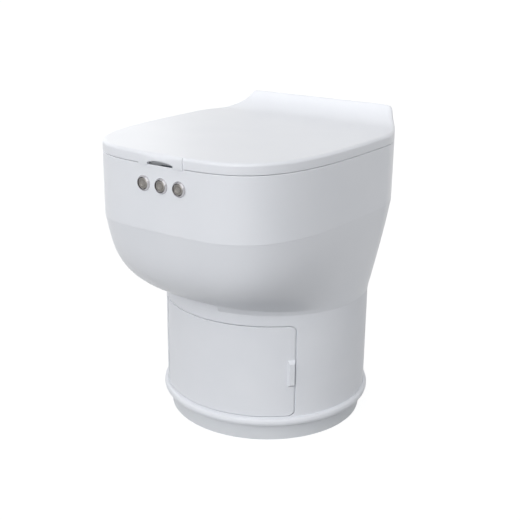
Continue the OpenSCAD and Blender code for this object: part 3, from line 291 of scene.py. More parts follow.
def ring_faces(count, size, closed_stack=False):
    """Quads between rings of one size, one after another, and from the last to the first if closed."""
    faces = []
    for k in range(count if closed_stack else count - 1):
        a, b = k * size, (k + 1) % count * size
        faces += [(a + i, a + (i + 1) % size, b + (i + 1) % size, b + i) for i in range(size)]
    return faces


def cap_faces(count, size):
    """Faces that close the first and the last ring."""
    last = (count - 1) * size
    return [list(range(size - 1, -1, -1)), list(range(last, last + size))]


def full_turn(count):
    """Angles of so many equal steps all round."""
    return np.arange(count) * 2 * math.pi / count


def skin(rings, closed_stack=True, capped=False):
    """Points and faces of rings of one size, joined one after another."""
    count, size = len(rings), len(rings[0])
    caps = cap_faces(count, size) if capped else []
    return np.concatenate(rings), ring_faces(count, size, closed_stack) + caps


def spun(points, turn):
    """Points turned about Z."""
    return points @ np.array(Matrix.Rotation(turn, 3, "Z")).T


def fillet(corners, radii, steps=4):
    """Closed outline with each corner rounded by its radius, in so many steps."""
    out = []
    count = len(corners)
    for i, (corner, r) in enumerate(zip(corners, radii)):
        p = np.array(corner, float)
        if r <= 0:
            out.append(p)
            continue
        back = np.array(corners[i - 1], float) - p
        ahead = np.array(corners[(i + 1) % count], float) - p
        back, ahead = back / np.linalg.norm(back), ahead / np.linalg.norm(ahead)
        half = math.acos(max(-1.0, min(1.0, float(back @ ahead)))) / 2
        middle = p + (back + ahead) / np.linalg.norm(back + ahead) * r / math.sin(half)
        start, end = p + back * r / math.tan(half), p + ahead * r / math.tan(half)
        a = math.atan2(*(start - middle)[::-1])
        turn = math.atan2(*(end - middle)[::-1]) - a
        turn = (turn + math.pi) % (2 * math.pi) - math.pi
        out += [middle + r * np.array([math.cos(a + turn * k / steps), math.sin(a + turn * k / steps)])
                for k in range(steps + 1)]
    return out


def turned(profile, count, axis="Z", at=(0, 0, 0)):
    """Points and faces of a closed profile of radius and height, turned about Z or Y with count sides."""
    turns = full_turn(count)
    rings = []
    for r, h in profile:
        u, v, w = r * np.cos(turns), r * np.sin(turns), np.full(count, h)
        ring = (u, -w, v) if axis == "Y" else (u, v, w)
        rings.append(np.stack(ring, 1) + np.array(at, float))
    return skin(rings)


def merge(parts):
    """One set of points and faces from several."""
    points, faces, first = [], [], 0
    for p, f in parts:
        points.append(np.asarray(p, float).reshape(-1, 3))
        faces += [[first + i for i in face] for face in f]
        first += len(points[-1])
    return np.concatenate(points), faces


# Plan of the housing: a superellipse at the front, sides that draw in towards the rear, round rear corners

HALF_W, FRONT, REAR, WIDEST = 185.0, 267.0, 156.0, 52.0
FRONT_POWER, PINCH, PINCH_POWER, CORNER_R = 3.8, 0.245, 1.55, 16.0
SIDE_SLOPE = HALF_W * PINCH * PINCH_POWER / (REAR - WIDEST)
CORNER_FROM = math.atan(SIDE_SLOPE)
CORNER_Y = REAR - CORNER_R
SIDE_END_Y = CORNER_Y + CORNER_R * math.sin(CORNER_FROM)
# The lid's tab and slot and the seat's recess are further forward than this
FRONT_ZONE_Y = -200.0
# Points of the plan's fine line on half the front, of which at_front looks among the first FRONT_REACH,
# and on a side, a corner and half the rear
FRONT_STEPS, FRONT_REACH, SIDE_STEPS, CORNER_STEPS, REAR_STEPS = 3000, 2500, 600, 200, 400
# Distance between the even points that pieces are built on
PITCH = 3.6


def side_x(y):
    """Half width of the plan behind its widest place."""
    return HALF_W * (1 - PINCH * ((y - WIDEST) / (REAR - WIDEST)) ** PINCH_POWER)


CORNER_X = side_x(SIDE_END_Y) - CORNER_R * math.cos(CORNER_FROM)


def plan_track():
    """Fine closed line of the plan from the front middle round by the right, and its running length."""
    a = np.radians(np.linspace(0, 90, FRONT_STEPS))
    r = 1 / (np.sin(a) ** FRONT_POWER + np.cos(a) ** FRONT_POWER) ** (1 / FRONT_POWER)
    front = np.stack([HALF_W * r * np.sin(a), WIDEST - (WIDEST + FRONT) * r * np.cos(a)], 1)
    y = np.linspace(WIDEST, SIDE_END_Y, SIDE_STEPS)[1:]
    side = np.stack([[side_x(v) for v in y], y], 1)
    a = np.linspace(CORNER_FROM, math.pi / 2, CORNER_STEPS)[1:]
    corner = np.stack([CORNER_X + CORNER_R * np.cos(a), CORNER_Y + CORNER_R * np.sin(a)], 1)
    back = np.stack([np.linspace(CORNER_X, 0, REAR_STEPS)[1:], np.full(REAR_STEPS - 1, REAR)], 1)
    right = np.concatenate([front, side, corner, back])
    left = right[-2::-1] * [-1, 1]
    track = np.concatenate([right, left])
    length = np.concatenate([[0], np.cumsum(np.linalg.norm(np.diff(track, axis=0), axis=1))])
    return track, length


TRACK, LENGTH = plan_track()
LOOP = LENGTH[-1]


def at_front(x):
    """Running length of the point of the front with this x."""
    s = float(np.interp(abs(x), TRACK[:FRONT_REACH, 0], LENGTH[:FRONT_REACH]))
    return s if x >= 0 else LOOP - s


def at_rear(x):
    """Running length of the point of the straight rear with this x."""
    return LOOP / 2 - x


def stations(extra=()):
    """Points of the plan and their outward normals, evenly spaced and at extra running lengths."""
    even = np.arange(0, LOOP, LOOP / round(LOOP / PITCH))
    s = np.unique(np.round(np.concatenate([even, np.array(extra, float) % LOOP]), 4))
    point = np.stack([np.interp(s, LENGTH, TRACK[:, 0]), np.interp(s, LENGTH, TRACK[:, 1])], 1)
    reach = 1.2
    ahead = np.stack([np.interp((s + reach) % LOOP, LENGTH, TRACK[:, k]) for k in (0, 1)], 1)
    behind = np.stack([np.interp((s - reach) % LOOP, LENGTH, TRACK[:, k]) for k in (0, 1)], 1)
    along = ahead - behind
    normal = np.stack([along[:, 1], -along[:, 0]], 1) / np.linalg.norm(along, axis=1)[:, None]
    return point, normal


def spread(places, offsets, finder):
    """Running lengths at some offsets along x from each of the places."""
    return [finder(place + off) for place in places for off in offsets]


def with_height(xy, z):
    """Ring in space from a ring in plan and its height or heights."""
    return np.concatenate([xy, np.broadcast_to(z, (len(xy),))[:, None]], 1)


def smooth_step(t):
    """Rise from 0 to 1 that starts and ends level."""
    t = np.clip(t, 0, 1)
    return t * t * (3 - 2 * t)


# Housing

RIM_Z, BAND_Z, EDGE_Z, DECK_Z = 454.0, 358.0, 213.8, 440.0
SHELL_T, EDGE_R, SKIRT_H = 3.5, 169.0, 3.0
FRONT_LIFT, FRONT_FLARE, BULGE_FOCUS = 9.5, 7.0, 4.9
BULGE_FRONT, BULGE_SIDE = 4.5, 1.5
SLANT_FRONT, SLANT_SIDE, SLANT_FOCUS = 0.25, 0.6, 8
NOTCH_DIR, NOTCH_W, NOTCH_H, NOTCH_GAP, NOTCH_DROP = -20.0, 160.0, 11.5, 0.6, 0.6
# The notch is within this many degrees of its direction, and points are closer this near to its ends
NOTCH_SEARCH, NOTCH_NEAR = 60, 6
SHELL_LIP = 0.35
BEZEL_BORE_R, BEZEL_BORE_DEEP = 9.7, 20


def housing_band():
    """Upright band of the housing, with a rim that is slightly rounded and a bore for each bezel."""
    point, normal = stations()
    corners = [(0, BAND_Z), (0, RIM_Z), (SHELL_T, RIM_Z), (SHELL_T, BAND_Z)]
    profile = fillet(corners, [SHELL_LIP, 1.0, 0.8, 0])
    rings = [with_height(point - d * normal, z) for d, z in profile]
    band = make_piece("housing_band", *skin(rings), GLOSS_ABS, "housing", "white_plastic", ["upper_shell"])
    for x in BUTTON_XS.values():
        drill(band, (x, -FRONT, BUTTON_Z), BEZEL_BORE_R, BEZEL_BORE_DEEP)


def front_share(turn):
    """How much a direction in radians is the front's, from 0 to 1."""
    return ((1 + np.cos(turn)) / 2) ** BULGE_FOCUS


def bulge_ring(plan, depth, radius, wall):
    """Ring of the bulge at a depth from 0 at the band to 1 at its foot."""
    turn = np.arctan2(plan[:, 0], -plan[:, 1])
    share = front_share(turn)
    power = BULGE_SIDE + (BULGE_FRONT - BULGE_SIDE) * share
    slant = SLANT_FRONT + (SLANT_SIDE - SLANT_FRONT) * (1 - share) ** SLANT_FOCUS
    out = 1 - (slant * depth + (1 - slant) * depth ** power)
    foot = (radius + FRONT_FLARE * share)[:, None] * np.stack([np.sin(turn), -np.cos(turn)], 1)
    low = EDGE_Z + SKIRT_H + FRONT_LIFT * share + wall * share
    return with_height(foot + (plan - foot) * out[:, None], BAND_Z - (BAND_Z - low) * depth)


def notch_edge(turn):
    """Height of the bulge's lower edge by direction, in degrees, with the key notch cut out of it."""
    end_r = NOTCH_H / 2
    middle = EDGE_Z - NOTCH_DROP + end_r
    across = np.abs(EDGE_R * np.sin(np.radians(turn - NOTCH_DIR)))
    beyond = across - (NOTCH_W / 2 - end_r)
    arch = middle + np.sqrt(np.clip(end_r ** 2 - np.clip(beyond, 0, end_r) ** 2, 0, None))
    inside = (beyond < end_r) & (np.abs(turn - NOTCH_DIR) < NOTCH_SEARCH)
    return np.where(inside, arch, EDGE_Z)


def housing_bulge():
    """Lower shell: an egg-like blend from the band's plan to the pedestal's circle."""
    notch_ends = [NOTCH_DIR + s * math.degrees(math.asin(NOTCH_W / 2 / EDGE_R)) for s in (-1, 1)]
    track_turn = np.degrees(np.arctan2(TRACK[:, 0], -TRACK[:, 1]))
    near = []
    for end in notch_ends:
        middle = LENGTH[np.argmin(np.abs(track_turn - end))]
        near += [middle + d for d in np.linspace(-NOTCH_NEAR, NOTCH_NEAR, 41)]
    point, normal = stations(near)
    turn = np.degrees(np.arctan2(point[:, 0], -point[:, 1]))
    share = front_share(np.radians(turn))
    edge = notch_edge(turn)
    foot_z = EDGE_Z + SKIRT_H + FRONT_LIFT * share
    skirt_least, lip_least = 0.15, 0.05
    edge = np.minimum(edge, foot_z - skirt_least)
    up = (edge - EDGE_Z) / (foot_z - EDGE_Z)
    unit = np.stack([np.sin(np.radians(turn)), -np.cos(np.radians(turn))], 1)
    depths = np.concatenate([np.linspace(1, 0.9, 12), np.linspace(0.9, 0, 44)[1:]])
    inner = point - SHELL_T * normal
    rings = [bulge_ring(inner, d, EDGE_R - SHELL_T, SHELL_T) for d in depths[::-1]]
    for back, rise in ((SHELL_T, 0), (SHELL_LIP, 0), (SHELL_LIP * 0.3, SHELL_LIP * 0.3), (0, SHELL_LIP)):
        radius = EDGE_R + FRONT_FLARE * share * up - back
        rings.append(with_height(unit * radius[:, None], np.minimum(edge + rise, foot_z - lip_least)))
    rings += [bulge_ring(point, d, EDGE_R, 0) for d in depths]
    make_piece("housing_bulge", *skin(rings), GLOSS_ABS, "housing", "white_plastic", ["lower_shell"],
               crisp=40)


# Lid

LID_Z, LID_BOTTOM, LID_T = 471.0, 454.8, 3.0
RAMP_Y, RAMP_POWER, RAMP_RISE, RAMP_LEAN = 84.0, 3.0, 28.0, 0.12
LID_EDGE_R, RIDGE_R, TAB_ROUND, CORNER_ROUND = 5.0, 2.4, 4.0, 3.6
# The rear corners' extra rounding begins this far back and this far inside the corner, over this length
ROUND_FROM_Y, ROUND_IN, ROUND_RUN = 118, 20, 24
RAMP_END_Y = REAR - 1.4 * RIDGE_R
TAB_W, TAB_PROUD, TAB_DROP = 78.0, 2.2, 1.6
SLOT_W, SLOT_END_H, SLOT_MID_H = 46.0, 3.0, 6.5
HINGE_Y, HINGE_Z, KNUCKLE_R, KNUCKLE_W = 164.0, 458.0, 6.6, 18.0
PIN_BORE, KNUCKLE_SIDES = 3.07, 72
LID_KNUCKLE_X, SEAT_KNUCKLE_X, ARM_H = 34.0, 66.0, 5.0
LID_MIDDLE = np.array([0.0, -20.0])
# How much thicker the lid's top is than its wall, and the rounding of the wall's lower edge
LID_HOLLOW, LID_LIP = 0.5, 0.5


def ramp(y):
    """Rise of the lid's top towards its rear edge."""
    return RAMP_RISE * np.clip((y - RAMP_Y) / (RAMP_END_Y - RAMP_Y), 0, 1) ** RAMP_POWER


def lid_edge_ring(point, normal, inset, turn, drop):
    """Ring on the lid's rounded edge, at a turn from 0 on the wall to 90 degrees on the top."""
    share = np.clip(normal[:, 1], 0, None) ** 3
    r = LID_EDGE_R + (RIDGE_R - LID_EDGE_R) * share
    in_tab = (point[:, 1] < FRONT_ZONE_Y) & (np.abs(point[:, 0]) < TAB_W / 2)
    r = r + np.where(in_tab, TAB_ROUND * np.cos(math.pi * point[:, 0] / TAB_W) ** 2, 0)
    back = smooth_step((point[:, 1] - ROUND_FROM_Y) / ROUND_RUN)
    r = r + CORNER_ROUND * back * smooth_step((np.abs(point[:, 0]) - CORNER_X + ROUND_IN) / ROUND_RUN)
    lean = RAMP_LEAN * (1 - share) * ramp(point[:, 1])
    xy = point - (inset + r * (1 - math.cos(turn)) + lean)[:, None] * normal
    return with_height(xy, LID_Z - drop + ramp(xy[:, 1]) - r * (1 - math.sin(turn)))


def lid_cover():
    """Lid in one skin: wall, lift tab, finger slot, rounded edge and the ramp up to the rear."""
    slot_half, tab_half = SLOT_W / 2, TAB_W / 2
    close = (-1.2, -0.8, -0.5, -0.3, -0.1, 0.1, 0.3, 0.5, 0.8, 1.2)
    extra = spread([-tab_half, tab_half, -slot_half, slot_half], close, at_front)
    extra += [at_front(x) for x in np.arange(-slot_half, slot_half, 1.5)]
    arm_half = KNUCKLE_W / 2 + 1
    arm_edges = [s * SEAT_KNUCKLE_X + t * arm_half for s in (-1, 1) for t in (-1, 1)]
    extra += spread(arm_edges, (-0.3, -0.1, 0.1, 0.3), at_rear)
    point, normal = stations(extra)
    x, front, rear = np.abs(point[:, 0]), point[:, 1] < FRONT_ZONE_Y, point[:, 1] > REAR - 1
    tab = np.where(front, smooth_step((tab_half + 0.4 - x) / 0.8), 0)
    proud = -TAB_PROUD * tab
    rise = SLOT_MID_H - SLOT_END_H
    arch_r = (slot_half ** 2 + rise ** 2) / (2 * rise)
    arch_top = LID_BOTTOM - LID_LIP + SLOT_MID_H
    arch = arch_top - arch_r + np.sqrt(arch_r ** 2 - np.clip(x, 0, slot_half) ** 2)
    low = LID_BOTTOM - TAB_DROP * np.where(front & (x < tab_half), 1, 0)
    low = np.where(front & (x < slot_half), arch, low)
    low = np.where(rear & (np.abs(x - SEAT_KNUCKLE_X) < arm_half), HINGE_Z + ARM_H / 2 + 2, low)
    turns = np.radians(np.linspace(0, 90, 8))
    # Sizes of the rings on the top, closest together at its edge
    shrinks = 1 - np.linspace(0, 1, 46)[1:] ** 1.6 * 0.97
    outer = [lid_edge_ring(point, normal, proud, t, 0) for t in turns]
    inner = [lid_edge_ring(point, normal, np.full(len(x), LID_T), t, LID_T + LID_HOLLOW) for t in turns]

    def top_rings(edge, drop):
        out = []
        for s in shrinks:
            xy = LID_MIDDLE + s * (edge[:, :2] - LID_MIDDLE)
            out.append(with_height(xy, LID_Z - drop + ramp(xy[:, 1])))
        return out

    foot = [(LID_T, LID_LIP), (LID_T - LID_LIP * 0.3, LID_LIP * 0.3), (LID_T - LID_LIP, 0),
            (LID_LIP, 0), (LID_LIP * 0.3, LID_LIP * 0.3), (0, LID_LIP)]
    feet = []
    for inset, up in foot:
        reach = inset + proud * (1 - inset / LID_T)
        feet.append(with_height(point - reach[:, None] * normal, low + up))
    under = top_rings(inner[-1], LID_T + LID_HOLLOW)
    rings = under[::-1] + inner[::-1] + feet + outer + top_rings(outer[-1], 0)
    make_piece("lid_cover", *skin(rings, False, True), GLOSS_ABS, "lid", "white_plastic", ["lid"], crisp=38)


def knuckle(x, near_y, low_z, high_z):
    """Hinge knuckle with its arm: a sleeve round the pin that runs out to near_y."""
    turn = full_turn(KNUCKLE_SIDES)
    c, s = np.cos(turn), np.sin(turn)
    arm = np.full(KNUCKLE_SIDES, KNUCKLE_R)
    for i in range(KNUCKLE_SIDES):
        if c[i] < -1e-6:
            limits = [(HINGE_Y - near_y) / -c[i]]
            if s[i] > 1e-6:
                limits.append((high_z - HINGE_Z) / s[i])
            if s[i] < -1e-6:
                limits.append((HINGE_Z - low_z) / -s[i])
            arm[i] = max(arm[i], min(limits))
    half_w, edge = KNUCKLE_W / 2, 0.6
    profile = [(0, -half_w + edge, 0), (edge * 0.3, -half_w + edge * 0.3, 0), (edge, -half_w, 0),
               (0, -half_w, 1), (0, half_w, 1), (edge, half_w, 0),
               (edge * 0.3, half_w - edge * 0.3, 0), (0, half_w - edge, 0)]
    rings = []
    for inset, off, bore in profile:
        r = np.full(KNUCKLE_SIDES, PIN_BORE) if bore else arm - inset
        rings.append(np.stack([np.full(KNUCKLE_SIDES, x + off), HINGE_Y + r * c, HINGE_Z + r * s], 1))
    return skin(rings)


def lid_knuckles():
    """The lid's two knuckles on the hinge pin."""
    parts = [knuckle(s * LID_KNUCKLE_X, REAR - LID_T / 2, LID_BOTTOM, HINGE_Z + KNUCKLE_R) for s in (-1, 1)]
    make_piece("lid_knuckles", *merge(parts), GLOSS_ABS, "lid", "white_plastic", ["lid"])


# Seat

SEAT_Z, SEAT_T, SEAT_IN, SEAT_REAR = 450.5, 14.0, 6.0, 118.0
SEAT_HOLE_A, SEAT_HOLE_B, BOWL_Y = 104.0, 134.0, -70.0
RECESS_W, RECESS_DEEP = 52.0, 14.0
RECESS_R = (RECESS_W ** 2 / 4 + RECESS_DEEP ** 2) / (2 * RECESS_DEEP)
RECESS_Y = -FRONT + SEAT_IN + RECESS_DEEP - RECESS_R
# Points round the seat and rounds of smoothing, its outer edge's radius, and the fall to its opening
SEAT_POINTS, SEAT_SMOOTHING = 540, 14
SEAT_EDGE_R, SEAT_FALL_IN, SEAT_FALL_DOWN = 4.5, 9, 7


def seat_outline(count):
    """Outer and inner edge of the seat, point by point from the middle of its opening."""
    point, normal = stations()
    edge = point - SEAT_IN * normal
    edge[:, 1] = np.minimum(edge[:, 1], SEAT_REAR)
    hollow = RECESS_Y + np.sqrt(np.clip(RECESS_R ** 2 - edge[:, 0] ** 2, 0, None))
    in_hollow = (np.abs(edge[:, 0]) < RECESS_W / 2) & (edge[:, 1] < FRONT_ZONE_Y)
    edge[:, 1] = np.where(in_hollow, np.maximum(edge[:, 1], hollow), edge[:, 1])
    dense = []
    for a, b in zip(edge, np.roll(edge, -1, 0)):
        dense += [a + (b - a) * t for t in (0, 0.5)]
    dense = np.array(dense)
    around = np.unwrap(np.arctan2(dense[:, 0], -(dense[:, 1] - BOWL_Y)))
    order = np.argsort(around)
    turn = full_turn(count) + around[order][0]
    reach = np.linalg.norm(dense - [0, BOWL_Y], axis=1)[order]
    r = np.interp(turn, around[order], reach, period=2 * math.pi)
    unit = np.stack([np.sin(turn), -np.cos(turn)], 1)
    outer = [0, BOWL_Y] + unit * r[:, None]
    inner_r = 1 / np.sqrt((unit[:, 0] / SEAT_HOLE_A) ** 2 + (unit[:, 1] / SEAT_HOLE_B) ** 2)
    inner = [0, BOWL_Y] + unit * inner_r[:, None]
    return outer, inner


def seat_ring():
    """Seat with a crowned top that falls softly to its opening, and its two arms on the hinge pin."""
    outer, inner = seat_outline(SEAT_POINTS)
    for _ in range(SEAT_SMOOTHING):
        outer = (outer + np.roll(outer, 1, 0) + np.roll(outer, -1, 0)) / 3
    top = SEAT_Z + SEAT_T
    width = np.linalg.norm(outer - inner, axis=1)
    across = (outer - inner) / width[:, None]

    def ring(share, shift, z):
        return with_height(inner + (outer - inner) * share + across * shift, z)

    rings = [ring(1, -1, SEAT_Z), ring(1, -0.3, SEAT_Z + 0.3), ring(1, 0, SEAT_Z + 1)]
    for t in np.radians(np.linspace(0, 90, 8)):
        rings.append(ring(1, -SEAT_EDGE_R * (1 - math.cos(t)), top - SEAT_EDGE_R * (1 - math.sin(t)) - 0.3))
    rings += [ring(0.85, -2, top - 0.1), ring(0.7, 0, top), ring(0.5, 0, top - 0.1), ring(0.3, 2, top - 0.8)]
    for t in np.radians(np.linspace(90, 0, 10)):
        rings.append(ring(0, SEAT_FALL_IN * (1 - math.cos(t)), top - 2 - SEAT_FALL_DOWN * (1 - math.sin(t))))
    rings += [ring(0, 0, SEAT_Z + 4), ring(0, 1.2, SEAT_Z + 1), ring(0, 4, SEAT_Z)]
    make_piece("seat_ring", *skin(rings), GLOSS_ABS, "seat", "white_plastic", ["seat"], crisp=50)
    arms = [knuckle(s * SEAT_KNUCKLE_X, SEAT_REAR - 4, HINGE_Z - ARM_H / 2, HINGE_Z + ARM_H / 2)
            for s in (-1, 1)]
    make_piece("seat_arms", *merge(arms), GLOSS_ABS, "seat", "white_plastic", ["seat"])


# Pedestal and its door

PEDESTAL_R, PEDESTAL_T, PEDESTAL_Z = 168.0, 4.0, 210.0
PLINTH_H, RING_LIP_T = 28.8, 1.2
DOOR_X0, DOOR_X1, DOOR_Z0, DOOR_Z1, DOOR_CORNER = -110.0, 127.0, 44.0, 195.0, 8.0
DOOR_GAP, HINGE_SIDE_GAP, BARREL_R = 0.9, 1.9, 4.0
DOOR_AXIS_X = DOOR_X0 + BARREL_R
DOOR_AXIS_Y = -math.sqrt((PEDESTAL_R - BARREL_R) ** 2 - DOOR_AXIS_X ** 2)
DOOR_PIN_BORE = 2.07
# Columns on each rounded corner of a panel or opening and between the corners, and round the closed wall
ARC_COLUMNS, FLAT_COLUMNS, WALL_COLUMNS = 9, 90, 150


def rounded_columns(x0, x1, z0, z1, corners):
    """Columns across a rounded rectangle, with each one's lower and upper end."""
    left, right = corners
    a = np.linspace(0, math.pi / 2, ARC_COLUMNS)
    xs = np.concatenate([x0 + left * (1 - np.cos(a)),
                         np.linspace(x0 + left, x1 - right, FLAT_COLUMNS)[1:-1],
                         x1 - right * (1 - np.cos(a[::-1]))])
    cut = np.concatenate([left * (1 - np.sin(a)), np.zeros(FLAT_COLUMNS - 2),
                          right * (1 - np.sin(a[::-1]))])
    return xs, z0 + cut, z1 - cut


def on_pedestal(x, r, z):
    """Points on the front of a cylinder of radius r about the pedestal's axis."""
    return np.stack([x, -np.sqrt(r * r - x * x), np.broadcast_to(z, x.shape)], 1)


def arris_layers(side, edge, r_out, r_in):
    """How far out each layer of an arris stands, and its radius, for a panel (-1) or an opening (1)."""
    return [(side * edge * (1 - math.sin(t)), r_out - edge * (1 - math.cos(t)))
            for t in np.radians([0, 30, 60, 90])] + [(0, r_in)]


def curved_panel(box, corners, r_out, r_in, edge):
    """Panel that follows the pedestal's curve, with its outer edge rounded."""
    x0, x1, z0, z1 = box
    rings = []
    for grow, r in arris_layers(-1, edge, r_out, r_in):
        xs, low, high = rounded_columns(x0 - grow, x1 + grow, z0 - grow, z1 + grow,
                                        [max(c + grow, 0.05) for c in corners])
        rings.append(np.concatenate([on_pedestal(xs, r, low), on_pedestal(xs, r, high)[::-1]]))
    size = len(rings[0])
    n = size // 2
    faces = ring_faces(len(rings), size)
    last = (len(rings) - 1) * size
    for k in range(n - 1):
        a, b, c, d = k, k + 1, size - 2 - k, size - 1 - k
        faces += [(a, b, c, d), (last + d, last + c, last + b, last + a)]
    return np.concatenate(rings), faces


def pedestal_wall():
    """Pedestal with its door opening, whose edges are softly rounded."""
    low_z, high_z = PLINTH_H + RING_LIP_T, PEDESTAL_Z
    layers = arris_layers(1, 1.1, PEDESTAL_R, PEDESTAL_R - PEDESTAL_T)
    rings, sheets = [], []
    for i, (grow, r) in enumerate(layers):
        g = grow + DOOR_GAP
        xs, low, high = rounded_columns(DOOR_X0 - g - HINGE_SIDE_GAP, DOOR_X1 + g, DOOR_Z0 - g,
                                        DOOR_Z1 + g, (0.4 + grow, DOOR_CORNER + g))
        rings.append(np.concatenate([on_pedestal(xs, r, low), on_pedestal(xs, r, high)[::-1]]))
        if i in (0, len(layers) - 1):
            start, end = math.asin(xs[-1] / r), 2 * math.pi + math.asin(xs[0] / r)
            rest = np.linspace(start, end, WALL_COLUMNS)[1:-1]
            turns = np.concatenate([np.arcsin(xs / r), rest])
            unit = np.stack([np.sin(turns), -np.cos(turns)], 1) * r
            sheets.append([with_height(unit, low_z), with_height(unit, high_z)])
    points = [np.concatenate(rings)]
    size, n = len(rings[0]), len(rings[0]) // 2
    faces = [f[::-1] for f in ring_faces(len(rings), size)]
    first = len(points[0])
    columns = len(sheets[0][0])
    for side, sheet in enumerate(sheets):
        points += sheet
        base = first + side * 2 * columns
        loop = 0 if side == 0 else (len(rings) - 1) * size
        flip = 1 if side == 0 else -1
        for k in range(n - 1):
            down = (base + k, base + k + 1, loop + k + 1, loop + k)
            up = (loop + size - 1 - k, loop + size - 2 - k, base + columns + k + 1, base + columns + k)
            faces += [down[::flip], up[::flip]]
        for k in range(n - 1, columns):
            j = (k + 1) % columns
            face = [base + k, base + j, base + columns + j, base + columns + k]
            if k == n - 1:
                face += [loop + size - 1 - k, loop + k]
            if j == 0:
                face = [base + k, base, loop, loop + size - 1, base + columns, base + columns + k]
            faces.append(face[::flip])
    outer, inner = first, first + 2 * columns
    for k in range(columns):
        j = (k + 1) % columns
        faces += [(outer + j, outer + k, inner + k, inner + j),
                  (outer + columns + k, outer + columns + j, inner + columns + j, inner + columns + k)]
    make_piece("pedestal_wall", np.concatenate(points), faces, SATIN_ABS, "housing", "white_plastic",
               ["pedestal_shell"], crisp=40)


def door_leaf():
    """Door: a leaf on the pedestal's curve, and the rolled edge that it hangs by."""
    panel = curved_panel((DOOR_AXIS_X, DOOR_X1, DOOR_Z0, DOOR_Z1), (1.0, DOOR_CORNER), PEDESTAL_R,
                         PEDESTAL_R - PEDESTAL_T, 1.0)
    make_piece("door_leaf", *panel, SATIN_ABS, "door", "white_plastic", ["door"], crisp=40)
    corners = [(DOOR_PIN_BORE, DOOR_Z0), (BARREL_R, DOOR_Z0), (BARREL_R, DOOR_Z1), (DOOR_PIN_BORE, DOOR_Z1)]
    roll = fillet(corners, [0, 0.8, 0.8, 0])
    make_piece("door_roll", *turned(roll, 48, at=(DOOR_AXIS_X, DOOR_AXIS_Y, 0)), SATIN_ABS, "door",
               "white_plastic", ["door"])


PULL_W, PULL_H, PULL_PROUD, PULL_OVER = 12.0, 46.0, 5.0, 1.0
PULL_SLOPE_W, PULL_SLOPE_H = 2.0, 5.0
PULL_MID_Z = (DOOR_Z0 + DOOR_Z1) / 2 - 3


def door_handle():
    """Pull on the door's free edge: a bar that slopes in on all sides, with rounded arrises."""
    half_w, half_h = PULL_W / 2, PULL_H / 2
    arris = 0.7
    rings = []
    for inset, out in ((0, -0.6), (0, PULL_PROUD - arris), (arris * 0.3, PULL_PROUD - arris * 0.3),
                       (arris, PULL_PROUD)):
        slope = max(out, 0) / PULL_PROUD
        w, h = half_w - PULL_SLOPE_W * slope - inset, half_h - PULL_SLOPE_H * slope - inset
        outline = fillet([(-w, -h), (w, -h), (w, h), (-w, h)], [1.0] * 4)
        rings.append(np.array([[x, -PEDESTAL_R - out, PULL_MID_Z + z] for x, z in outline]))
    points, faces = skin(rings, False, True)
    turn = math.asin(DOOR_X1 / PEDESTAL_R) - math.asin((half_w - PULL_OVER) / PEDESTAL_R)
    make_piece("door_handle", spun(points, turn), faces, SATIN_ABS, "door", "white_plastic", ["door_pull"],
               crisp=40)


RING_SIDES = 240
TONGUE_CORNER, TONGUE_BACK_R, TONGUE_EDGE = 4.6, 161.8, 0.6


def base_flange():
    """Base ring: a thin lip, a fine line under it and a full round band."""
    corners = [(155, 28.8), (170.2, 28.8), (173.1, 30.4), (174, 34.6), (173.2, 38.8), (171.2, 41),
               (170.1, 40.9), (170, 41.6), (169.4, 42), (168.2, 42), (168.2, 30), (155, 30)]
    radii = [0, 0.6, 2.4, 5, 4, 0.8, 0.15, 0.3, 0.4, 0, 0, 0]
    make_piece("base_flange", *turned(fillet(corners, radii, 5), RING_SIDES), SATIN_ABS, "housing",
               "white_plastic", ["base_ring"], crisp=50)


def collar_ring():
    """Collar between pedestal and bulge, and its tongue that shows in the key notch."""
    corners = [(160.2, 201), (163.7, 201), (163.7, 210), (168, 210), (168, 213.8), (163.5, 213.8),
               (163.5, 225.8), (160.8, 225.8), (160.8, 213.8), (153, 213.8), (153, 210), (160.2, 210)]
    radii = [0, 0.5, 0, 0.15, 0.15, 0, 0.6, 0.6, 0, 0, 0, 0]
    make_piece("collar_ring", *turned(fillet(corners, radii, 3), RING_SIDES), SATIN_ABS, "housing",
               "white_plastic", ["collar"])
    half_w, low = NOTCH_W / 2 - NOTCH_GAP, EDGE_Z - 0.5
    high = EDGE_Z - NOTCH_DROP + NOTCH_H - NOTCH_GAP
    points, faces = curved_panel((-half_w, half_w, low, high), (TONGUE_CORNER, TONGUE_CORNER), PEDESTAL_R,
                                 TONGUE_BACK_R, TONGUE_EDGE)
    make_piece("collar_tongue", spun(points, math.radians(NOTCH_DIR)), faces, SATIN_ABS, "housing",
               "white_plastic", ["collar"], crisp=40)


# Push buttons

BUTTON_Z, BUTTON_XS, BUTTON_SIDES = 426.0, {"left": -31.5, "middle": 0.0, "right": 31.5}, 96


